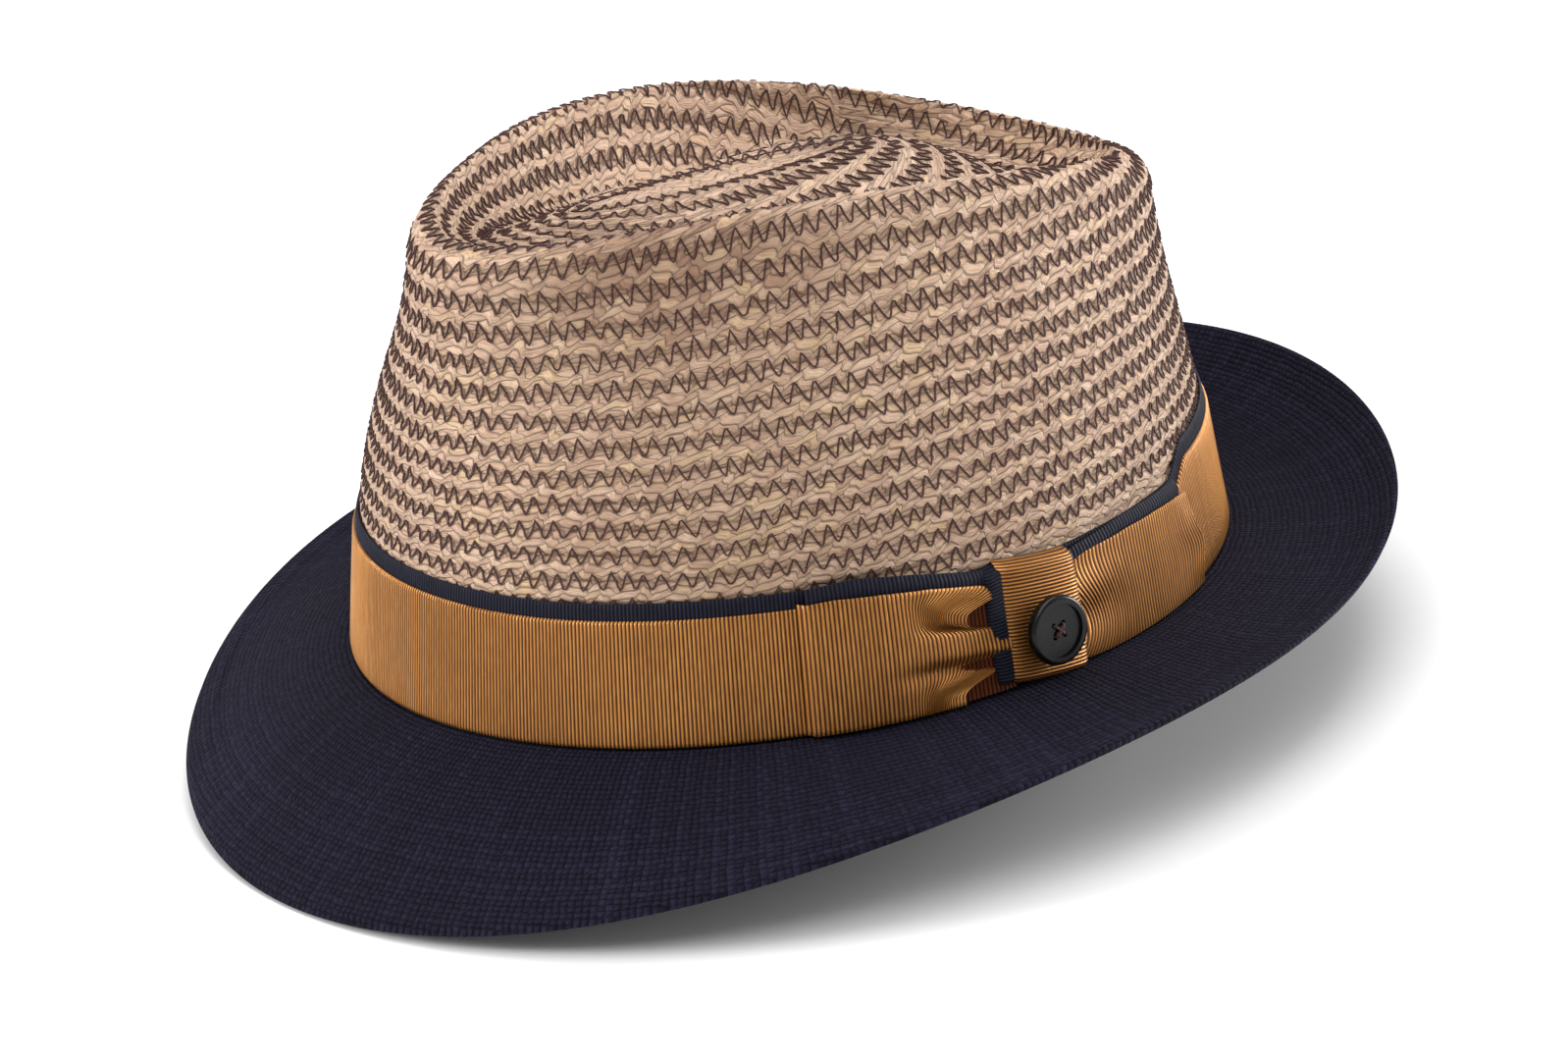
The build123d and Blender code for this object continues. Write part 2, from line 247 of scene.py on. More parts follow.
class Wiring:
    """Short hands for a material's nodes: each call adds one node and returns its output."""

    def __init__(self, name: str) -> None:
        """Starts a material of one Principled shader."""
        self.material = bpy.data.materials.new(name)
        self.material.use_nodes = True
        self.tree = self.material.node_tree
        self.shader = self.tree.nodes["Principled BSDF"]

    def node(self, kind: str, **settings: object) -> bpy.types.Node:
        """Adds a node of a kind and sets its properties."""
        made = self.tree.nodes.new(kind)
        for key, value in settings.items():
            setattr(made, key, value)
        return made

    def plug(self, value: object, socket: Socket) -> None:
        """Links an output to a socket, or writes a constant on it."""
        if isinstance(value, Socket):
            self.tree.links.new(value, socket)
        else:
            socket.default_value = value

    def calc(self, operation: str, *values: object) -> Socket:
        """One Math node of up to three values."""
        made = self.node("ShaderNodeMath", operation=operation)
        for value, socket in zip(values, made.inputs):
            self.plug(value, socket)
        return made.outputs[0]

    def times(self, one: object, two: object) -> Socket:
        """The product of two values."""
        return self.calc("MULTIPLY", one, two)

    def plus(self, one: object, two: object) -> Socket:
        """The sum of two values."""
        return self.calc("ADD", one, two)

    def lay(self) -> tuple[Socket, Socket]:
        """The two coordinates of the piece's own UV map."""
        made = self.node("ShaderNodeUVMap", uv_map="lay")
        parts = self.node("ShaderNodeSeparateXYZ")
        self.plug(made.outputs[0], parts.inputs[0])
        return parts.outputs[0], parts.outputs[1]

    def place(self) -> Socket:
        """The piece's Object coordinates."""
        return self.node("ShaderNodeTexCoord").outputs["Object"]

    def join(self, x: object, y: object, z: object = 0.0) -> Socket:
        """A vector of three values."""
        made = self.node("ShaderNodeCombineXYZ")
        for value, socket in zip((x, y, z), made.inputs):
            self.plug(value, socket)
        return made.outputs[0]

    def noise(self, vector: object, scale: float, detail: float = 2.0) -> Socket:
        """Smooth noise from 0 to 1 at a scale."""
        made = self.node("ShaderNodeTexNoise")
        self.plug(vector, made.inputs["Vector"])
        made.inputs["Scale"].default_value = scale
        made.inputs["Detail"].default_value = detail
        return made.outputs["Fac"]

    def dice(self, x: object, y: object, z: object = 0.0) -> Socket:
        """A number from 0 to 1 that jumps from one whole-numbered cell to the next."""
        made = self.node("ShaderNodeTexWhiteNoise", noise_dimensions="3D")
        self.plug(self.join(x, y, z), made.inputs["Vector"])
        return made.outputs["Value"]

    def blend(self, share: object, first: object, second: object) -> Socket:
        """A colour mix of two colours by a share."""
        made = self.node("ShaderNodeMix", data_type="RGBA")
        for value, place in zip((share, first, second), (0, 6, 7)):
            self.plug(value, made.inputs[place])
        return made.outputs[2]

    def coats(self, base: object, *coats: tuple[object, Colour]) -> Socket:
        """Lays colours over a base one after another, each by its own share."""
        for share, tint in coats:
            base = self.blend(share, base, tint)
        return base

    def span(self, value: object, low: float, high: float, to_low: float, to_high: float) -> Socket:
        """A value carried from one range to another, clamped."""
        made = self.node("ShaderNodeMapRange")
        for number, socket in zip((value, low, high, to_low, to_high), made.inputs):
            self.plug(number, socket)
        return made.outputs[0]

    def bump(self, height: object, distance: float, strength: float = 1.0) -> None:
        """Tilts the shader's normal by a height, whose full step is a distance in metres."""
        made = self.node("ShaderNodeBump")
        made.inputs["Strength"].default_value = strength
        made.inputs["Distance"].default_value = distance
        self.plug(height, made.inputs["Height"])
        self.plug(made.outputs[0], self.shader.inputs["Normal"])

    def dress(self, colour: object, rough: object, **fixed: object) -> Material:
        """Sets the shader's colour, roughness and fixed numbers, by their socket names with spaces."""
        self.plug(colour, self.shader.inputs["Base Color"])
        self.plug(rough, self.shader.inputs["Roughness"])
        for key, value in fixed.items():
            self.shader.inputs[key.replace("_", " ")].default_value = value
        return self.material


@dataclass(frozen=True)
class PlaitLay:
    """The lattice of flat straws in one row of plait: spacing along the row and crossings across it."""

    pitch: float = 3.7
    crossings: float = 3.0
    sway: tuple[tuple[float, float, float], ...] = ((0.9, 0.61, 2.1), (0.5, 1.73, -3.3))
    row_rate: float = 12.9898
    row_spread: float = 43.7585
    row_start: float = 7.0
    steep: float = 1.9
    low: float = 0.45
    bowed: float = 0.55

    def straws(self, along: Array, row: Array) -> Array:
        """Height of the interlaced straws from 0 to 1.

        x sways along the row by two sines. a = x + m f and b = x - m f number the straws of the
        two slants; each passes over two and under two, and its height is a clipped sine across
        it times a sine along its float. Each row starts at its own place.

        Args:
            along: millimetres along the row.
            row: row coordinate, whose whole part counts the rows.

        Returns:
            Heights of the same shape.
        """
        count = np.floor(row)
        for size, rate, step in self.sway:
            along = along + size * np.sin(along * rate + count * step)
        start = np.modf(np.abs(np.sin(count * self.row_rate) * self.row_spread))[0] * self.row_start
        base, slant = along / self.pitch + start, self.crossings * (row - count)
        a, b = base + slant, base - slant
        turn = np.mod(np.floor(a) + np.floor(b), 4.0)
        part_a, part_b = a - np.floor(a), b - np.floor(b)
        first = turn < 2.0
        across = np.where(first, part_a, part_b)
        spent = np.where(first, turn + part_b, turn - 2.0 + part_a)
        body = np.minimum(1.0, self.steep * np.sin(math.pi * across))
        return body * (self.low + self.bowed * np.sin(math.pi * spent / 2.0))


@dataclass(frozen=True)
class StrawFinish:
    """Natural raffia plait: slanted flat straws of several tans, fibred along their length."""

    lay: PlaitLay
    tan: Colour = (0.59, 0.375, 0.255, 1.0)
    pale: Colour = (0.84, 0.61, 0.43, 1.0)
    golden: Colour = (0.69, 0.47, 0.23, 1.0)
    russet: Colour = (0.30, 0.145, 0.08, 1.0)
    shade: Colour = (0.15, 0.075, 0.05, 1.0)
    # A spot of painted shade in the front finger dent: its middle in metres and the reach over which it
    # fades.
    pinch_shade_at: tuple[float, float, float] = (0.037, -0.0536, 0.0979)
    pinch_shade_reach: tuple[float, float] = (0.008, 0.034)
    relief: float = 0.00060

    def make(self) -> Material:
        """Works out the same lattice as the relief and colours each straw by its own number.

        Each coat of colour lies where its mask is high. The masks are a straw's number, noise
        stretched along the straw, nearness to a spot of painted shade in the front finger dent,
        and how low the straw lies.
        """
        w = Wiring("straw_plait")
        along, row = w.lay()
        count, share = w.calc("FLOOR", row), w.calc("FRACT", row)
        for size, rate, step in self.lay.sway:
            phase = w.plus(w.times(along, rate), w.times(count, step))
            along = w.plus(along, w.times(w.calc("SINE", phase), size))
        wild = w.times(w.calc("SINE", w.times(count, self.lay.row_rate)), self.lay.row_spread)
        start = w.times(w.calc("FRACT", w.calc("ABSOLUTE", wild)), self.lay.row_start)
        base = w.plus(w.calc("DIVIDE", along, self.lay.pitch), start)
        slant = w.times(share, self.lay.crossings)
        a, b = w.plus(base, slant), w.calc("SUBTRACT", base, slant)
        whole_a, whole_b = w.calc("FLOOR", a), w.calc("FLOOR", b)
        part_a, part_b = w.calc("FRACT", a), w.calc("FRACT", b)
        turn = w.calc("FLOORED_MODULO", w.plus(whole_a, whole_b), 4.0)
        second = w.calc("GREATER_THAN", turn, 1.5)
        first = w.calc("SUBTRACT", 1.0, second)

        def pick(one: object, two: object) -> Socket:
            """One value on the first slant of straws and the other on the second."""
            return w.plus(w.times(one, first), w.times(two, second))

        across = pick(part_a, part_b)
        spent = pick(w.plus(turn, part_b), w.plus(w.calc("SUBTRACT", turn, 2.0), part_a))
        straw = pick(whole_a, w.plus(whole_b, 811.0))

        def grain(across_rate: float, along_rate: float, step: float, scale: float, detail: float) -> Socket:
            """Noise stretched along each straw, and stepped from one straw to the next."""
            place = w.join(w.times(across, across_rate), w.times(spent, along_rate), w.times(straw, step))
            return w.noise(place, scale, detail)

        hump = w.times(w.calc("SINE", w.times(across, math.pi)), self.lay.steep)
        rise = w.times(w.calc("SINE", w.times(spent, math.pi / 2.0)), self.lay.bowed)
        body = w.times(w.calc("MINIMUM", hump, 1.0), w.plus(self.lay.low, rise))
        kind = w.dice(straw, count, 3.0)
        single = w.dice(straw, count, w.plus(9.0, w.calc("FLOOR", w.calc("DIVIDE", spent, 2.0))))
        fibre, sliver = grain(9.0, 1.1, 3.7, 1.0, 4.0), grain(4.0, 0.9, 5.3, 2.3, 2.0)
        cloud, patch, crumple = (w.noise(w.place(), *v) for v in ((28.0, 2.0), (60.0, 3.0), (520.0, 4.0)))
        # Nearness to the spot of painted shade in the front finger dent.
        aim = w.node("ShaderNodeVectorMath", operation="DISTANCE")
        w.plug(w.place(), aim.inputs[0])
        aim.inputs[1].default_value = self.pinch_shade_at
        near = w.span(aim.outputs["Value"], *self.pinch_shade_reach, 0.75, 0.0)
        edge = w.calc("ABSOLUTE", w.calc("SUBTRACT", w.times(share, 2.0), 1.0))
        colour = w.coats(
            self.tan,
            (w.span(kind, 0.45, 1.0, 0.0, 0.60), self.pale),
            (w.span(single, 0.72, 1.0, 0.0, 0.65), self.golden),
            (w.span(single, 0.30, 0.0, 0.0, 0.30), self.russet),
            (w.times(w.span(kind, 0.0, 0.2, 0.7, 0.0), w.span(patch, 0.45, 0.7, 0.0, 1.0)), self.russet),
            (w.span(fibre, 0.42, 0.70, 0.0, 0.55), self.pale),
            (w.span(fibre, 0.25, 0.50, 0.60, 0.0), self.russet),
            (w.span(sliver, 0.60, 0.68, 0.0, 0.45), self.golden),
            (w.span(sliver, 0.36, 0.28, 0.0, 0.55), self.shade),
            (w.span(cloud, 0.35, 0.7, 0.22, 0.0), self.russet),
            # Painted shade: russet laid over the straws round the front finger dent.
            (w.times(near, w.span(single, 0.2, 0.8, 1.0, 0.15)), self.russet),
            (w.span(body, 0.0, 0.50, 0.85, 0.0), self.shade),
            (w.span(edge, 0.80, 1.0, 0.0, 0.38), self.shade),
        )
        w.bump(w.plus(w.plus(body, w.times(fibre, 0.8)), w.times(crumple, 0.5)), self.relief, 0.95)
        return w.dress(colour, w.span(fibre, 0.2, 0.8, 0.62, 0.42), Sheen_Weight=0.12, Sheen_Roughness=0.5)


@dataclass(frozen=True)
class ThreadFinish:
    """Dark sewing thread with a faint twist."""

    dark: Colour = (0.046, 0.016, 0.014, 1.0)
    light: Colour = (0.095, 0.042, 0.036, 1.0)
    twist: float = 0.9

    def make(self) -> Material:
        """Twist lines are a sine of the length plus the turn round the thread."""
        w = Wiring("sewing_thread")
        along, round_it = w.lay()
        phase = w.plus(w.times(along, TURN / self.twist), w.times(round_it, TURN))
        strands = w.plus(0.5, w.times(w.calc("SINE", phase), 0.5))
        wear = w.noise(w.place(), 300.0, 2.0)
        colour = w.blend(w.times(strands, wear), self.dark, self.light)
        w.bump(strands, 0.00006, 0.7)
        return w.dress(colour, w.span(wear, 0.3, 0.7, 0.55, 0.8), Specular_IOR_Level=0.3)


@dataclass(frozen=True)
class GrosgrainFinish:
    """Ribbed silk-like ribbon: UV counts the ribs one way and millimetres the other."""

    name: str
    # Painted shade colour for the hollows between ribs, also used for the random fading.
    valley_shade: Colour
    ridge: Colour
    glint: Colour
    rough: float = 0.34
    silk: float = 0.68
    shine: float = 0.5
    warp: float = 0.34

    def make(self) -> Material:
        """A rib is a cosine of its count; fine warp threads cross it and slow noise fades it. The valley
        colour is painted shade in the hollows between ribs, and the glint colour a painted highlight in
        streaks on the ridges.
        """
        w = Wiring(self.name)
        ribs, height = w.lay()
        ridge = w.calc("SUBTRACT", 0.5, w.times(w.calc("COSINE", w.times(ribs, TURN)), 0.5))
        warp = w.calc("SINE", w.times(height, TURN / self.warp))
        stray = w.dice(w.calc("FLOOR", ribs), 0.0, 1.0)
        slow = w.noise(w.join(w.times(ribs, 0.03), w.times(height, 0.03)), 1.0, 1.0)
        streak = w.noise(w.join(w.times(ribs, 1.7), w.times(height, 0.25)), 1.0, 3.0)
        colour = w.coats(
            # Painted shade in the rib hollows under the ridge colour, then a painted highlight in streaks on
            # the ridges.
            self.valley_shade,
            (w.span(ridge, 0.12, 0.85, 0.0, 1.0), self.ridge),
            (w.times(w.span(streak, 0.4, 0.7, 0.15, 0.45), ridge), self.glint),
            (w.span(stray, 0.0, 0.35, 0.16, 0.0), self.valley_shade),
            (w.span(slow, 0.30, 0.70, 0.20, 0.0), self.valley_shade),
        )
        w.bump(w.plus(ridge, w.times(warp, 0.10)), 0.00012, 0.75)
        rough = w.span(streak, 0.3, 0.7, self.rough + 0.08, self.rough - 0.06)
        return w.dress(colour, rough, Metallic=self.silk, Specular_IOR_Level=self.shine)


@dataclass(frozen=True)
class WeaveFinish:
    """Coarse plain weave: threads over and under in a chequer, with slubs and slow fading."""

    name: str
    # Painted shade colour where the threads dip between crossings, also used for the slow fading.
    deep_shade: Colour
    face: Colour
    glint: Colour
    pitch: float
    depth: float
    rough: float = 0.75

    def make(self) -> Material:
        """Warp shows where the cells' counts add to an even number, weft where to an odd one."""
        w = Wiring(self.name)
        x, y = (w.calc("DIVIDE", v, self.pitch) for v in w.lay())
        wobble = w.times(w.calc("SUBTRACT", w.noise(w.join(x, y), 0.35, 2.0), 0.5), 0.9)
        x, y = w.plus(x, wobble), w.plus(y, wobble)
        whole_x, whole_y = w.calc("FLOOR", x), w.calc("FLOOR", y)
        odd = w.calc("FLOORED_MODULO", w.plus(whole_x, whole_y), 2.0)
        even = w.calc("SUBTRACT", 1.0, odd)
        hump_x, hump_y = (w.calc("ABSOLUTE", w.calc("SINE", w.times(v, math.pi))) for v in (x, y))
        warp = w.times(w.calc("POWER", hump_x, 0.6), w.plus(0.35, w.times(hump_y, 0.65)))
        weft = w.times(w.calc("POWER", hump_y, 0.6), w.plus(0.35, w.times(hump_x, 0.65)))
        body = w.plus(w.times(warp, even), w.times(weft, odd))
        slub = w.dice(w.times(whole_x, even), w.times(whole_y, odd), odd)
        slow, fuzz = w.noise(w.place(), 22.0, 2.0), w.noise(w.place(), 900.0, 3.0)
        colour = w.coats(
            # The deep colour is painted shade where the threads dip; the face colour lies on the crossings.
            self.deep_shade,
            (w.span(body, 0.1, 0.85, 0.0, 1.0), self.face),
            (w.span(slub, 0.6, 1.0, 0.0, 0.30), self.glint),
            (w.span(slow, 0.35, 0.7, 0.30, 0.0), self.deep_shade),
            (w.span(fuzz, 0.5, 0.8, 0.0, 0.25), self.glint),
        )
        w.bump(w.plus(body, w.times(fuzz, 0.25)), self.depth, 0.9)
        rough = w.span(fuzz, 0.3, 0.7, self.rough + 0.08, self.rough - 0.08)
        return w.dress(colour, rough, Specular_IOR_Level=0.10)


@dataclass(frozen=True)
class PolishedFinish:
    """Black moulded button plastic with fine handling marks."""

    black: Colour = (0.003, 0.003, 0.0035, 1.0)
    worn: Colour = (0.014, 0.014, 0.015, 1.0)

    def make(self) -> Material:
        """Fine stretched noise roughens and greys the polish a little."""
        w = Wiring("button_polish")
        place = w.place()
        marks = w.noise(place, 700.0, 4.0)
        broad = w.noise(place, 160.0, 2.0)
        colour = w.blend(w.span(marks, 0.55, 0.8, 0.0, 0.5), self.black, self.worn)
        w.bump(w.plus(marks, broad), 0.00003, 0.4)
        return w.dress(colour, w.span(broad, 0.3, 0.7, 0.22, 0.36), Specular_IOR_Level=0.3)


@dataclass
class CrownForm:
    """The crown's outer skin, as a function of the turn about the hat and a run over the skin.

    A run of 0 to 1 climbs the wall, 1 to 2 rounds the shoulder and 2 to 3 crosses the tip to
    the ridge's innermost ring.
    """

    base_x: float = 85.5
    base_y: float = 101.5
    lean_x: float = 0.116
    lean_y: float = 0.138
    cone_top: float = 32.0
    crest_x: float = 52.4
    crest_y: float = 83.8
    crest_back: float = 2.0
    crest_tear: float = 0.22
    crest_level: float = 93.7
    crest_drop: float = 10.9
    crest_bow: float = 5.1
    shoulder_up: float = 8.0
    shoulder_out: float = 7.0
    side_hollow: float = 1.7
    pinch_depth: float = 4.0
    pinch_at: float = math.radians(-38.0)
    pinch_wide: float = math.radians(20.0)
    pinch_up: float = 0.85
    pinch_tall: float = 0.28
    core_x: float = 3.0
    core_y: float = 36.0
    core_at: float = -12.0
    core_level: float = 93.0
    core_fall: float = 0.083
    groove_side: float = 19.0
    groove_back: float = 8.0
    groove_front: float = 3.0

    def cone(self, turn: Array, height: Array, offset: Array | float = 0.0) -> Array:
        """The leaning oval: each half width falls in line with the height, plus an offset."""
        x = (self.base_x - self.lean_x * height + offset) * np.cos(turn)
        y = (self.base_y - self.lean_y * height + offset) * np.sin(turn)
        return np.stack(np.broadcast_arrays(x, y, height), -1)

    def crest(self, turn: Array, out: float) -> tuple[Array, Array]:
        """The crest in plan: an oval whose width grows with the sine of the turn."""
        wide = (self.crest_x + out) * (1 + self.crest_tear * np.sin(turn))
        return wide * np.cos(turn), self.crest_back + (self.crest_y + out) * np.sin(turn)

    def crest_height(self, turn: Array) -> Array:
        """Level, minus a drop by the sine of the turn, plus a bow by the cosine of twice it."""
        return self.crest_level - self.crest_drop * np.sin(turn) + self.crest_bow * np.cos(2 * turn)

    def pinch(self, turn: Array, up: Array) -> Array:
        """Depth of the finger dents: a Gaussian round each dent times one up the wall."""
        aims = (self.pinch_at, math.pi - self.pinch_at)
        near = np.minimum(*(np.abs(np.angle(np.exp(1j * (turn - aim)))) for aim in aims))
        rise = (up - self.pinch_up) / self.pinch_tall
        return self.pinch_depth * np.exp(-((near / self.pinch_wide) ** 2)) * np.exp(-(rise**2))

    def wall(self, turn: Array, share: Array) -> Array:
        """The cone blended to the crest's plan by a power of the height above the cone's top."""
        reach = self.crest_height(turn) - self.shoulder_up
        height = share * reach
        above = np.maximum(0.0, (height - self.cone_top) / (reach - self.cone_top))
        low = self.cone(turn, height)
        x1, y1 = self.crest(turn, self.shoulder_out)
        mix = above**self.side_hollow
        x, y = low[..., 0] + (x1 - low[..., 0]) * mix, low[..., 1] + (y1 - low[..., 1]) * mix
        inward = 1 - self.pinch(turn, above) / np.hypot(x, y)
        return np.stack([x * inward, y * inward, height], -1)

    def shoulder(self, turn: Array, share: Array) -> Array:
        """A quarter of an ellipse from the top of the wall over to the crest."""
        foot = self.wall(turn, np.ones_like(share))
        x1, y1 = self.crest(turn, 0.0)
        bend = share * math.pi / 2
        x = x1 + (foot[..., 0] - x1) * np.cos(bend)
        y = y1 + (foot[..., 1] - y1) * np.cos(bend)
        return np.stack([x, y, foot[..., 2] + self.shoulder_up * np.sin(bend)], -1)

    def tip(self, turn: Array, share: Array) -> Array:
        """From the crest in to the ridge: an S-shaped height less a squared-sine groove."""
        x1, y1 = self.crest(turn, 0.0)
        x0, y0 = self.core_x * np.cos(turn), self.core_at + self.core_y * np.sin(turn)
        back, front = np.maximum(0.0, np.sin(turn)), np.maximum(0.0, -np.sin(turn))
        depth = self.groove_side * np.cos(turn) ** 2
        depth = depth + self.groove_back * back**2 + self.groove_front * front**2
        where = np.clip(share, 0.0, 1.0) ** (0.55 - 0.2 * back)
        ease = share * share * (3 - 2 * share)
        ridge = self.core_level - self.core_fall * y0
        height = self.crest_height(turn) * (1 - ease) + ridge * ease - depth * np.sin(math.pi * where) ** 2
        return np.stack([x1 + (x0 - x1) * share, y1 + (y0 - y1) * share, height], -1)

    def skin(self, turn: Array, run: Array) -> Array:
        """Chooses wall, shoulder or tip by the run."""
        turn, run = np.broadcast_arrays(turn, run)
        low = self.wall(turn, np.clip(run, 0.0, 1.0))
        bend = self.shoulder(turn, np.clip(run - 1.0, 0.0, 1.0))
        high = self.tip(turn, np.clip(run - 2.0, 0.0, 1.0))
        return np.where(run[..., None] <= 1.0, low, np.where(run[..., None] <= 2.0, bend, high))


@dataclass
class PlaitRows:
    """How the rows of plait lie on the crown: one long spiral from the ridge down to the brim.

    The row coordinate is 0 at the ridge's innermost ring and grows downwards.
    """

    form: CrownForm
    band_level: float = 31.0
    rows_all: float = 21.1
    rim_front: float = 8.3
    rim_side: float = 8.5
    rim_back: float = 11.0
    crowding: float = 0.18
    seam: float = math.radians(135.0)
    shift: float = 0.22
    step: float = 0.05
    last: float = 28.0
    columns: int = 720
    samples: int = 500
    table: Array = field(init=False)

    def __post_init__(self) -> None:
        """Tabulates the run for each row coordinate and turn.

        Along each turn's meridian the distance from the ridge is summed; rows are even over the
        tip, and on the wall their share is a gentle parabola of the distance, wider near the top.
        """
        turn = np.linspace(0.0, TURN, self.columns + 1)
        run = np.linspace(3.0, 0.0, self.samples)
        line = self.form.skin(turn[None, :], run[:, None])
        steps = np.linalg.norm(np.diff(line, axis=0), axis=-1)
        gone = np.concatenate([np.zeros((1, len(turn))), np.cumsum(steps, axis=0)], axis=0)
        rim_at = np.argmin(np.abs(run - 2.0))
        to_rim = gone[rim_at]
        band_at = np.argmin(np.abs(line[..., 2] - self.band_level) + 1e3 * (run[:, None] > 1.0), axis=0)
        to_band = gone[band_at, np.arange(len(turn))]
        rim = self.rim(turn)
        up = 1.0 - (gone - to_rim) / (to_band - to_rim)
        curve = np.where(up > 0, up * (1 + self.crowding) - self.crowding * up**2, up * (1 + self.crowding))
        row = np.where(gone <= to_rim, rim * gone / to_rim, self.rows_all - (self.rows_all - rim) * curve)
        wanted = np.arange(0.0, self.last + self.step, self.step)
        lift = np.arange(len(turn)) * 1000.0
        runs = np.broadcast_to(run[:, None], row.shape)
        flat = np.interp((wanted[:, None] + lift).T.ravel(), (row + lift).T.ravel(), runs.T.ravel())
        self.table = flat.reshape(len(turn), len(wanted)).T

    def rim(self, turn: Array) -> Array:
        """Number of rows between the ridge and the crest, most at the back."""
        back, front = np.maximum(0.0, np.sin(turn)), np.maximum(0.0, -np.sin(turn))
        rows = self.rim_side + (self.rim_front - self.rim_side) * front**2
        return rows + (self.rim_back - self.rim_side) * back**2

    def run(self, turn: Array, row: Array) -> Array:
        """The run at a turn and a row coordinate, between four neighbours of the table."""
        turn, row = np.broadcast_arrays(turn, row)
        x = np.mod(turn, TURN) / TURN * self.columns
        y = np.clip(row / self.step, 0.0, len(self.table) - 1.001)
        j, i = np.minimum(np.floor(x).astype(int), self.columns - 1), np.floor(y).astype(int)
        s, t = x - j, y - i
        low = self.table[i, j] * (1 - s) + self.table[i, j + 1] * s
        high = self.table[i + 1, j] * (1 - s) + self.table[i + 1, j + 1] * s
        return low * (1 - t) + high * t

    def point(self, turn: Array, row: Array) -> Array:
        """The skin's point at a turn and a row coordinate."""
        return self.form.skin(turn, self.run(turn, row))

    def spiral(self, turn: Array, row: Array) -> Array:
        """Row coordinate plus the share of a turn gone from the seam, whole numbers on the joins."""
        return row + np.mod(turn - self.seam, TURN) / TURN + self.shift

    def swell(self, spiral: Array) -> Array:
        """A row's rounded section: a flattened power curve that falls to each join."""
        share = spiral - np.floor(spiral)
        return -0.78 * np.abs(2 * share - 1) ** 2.6


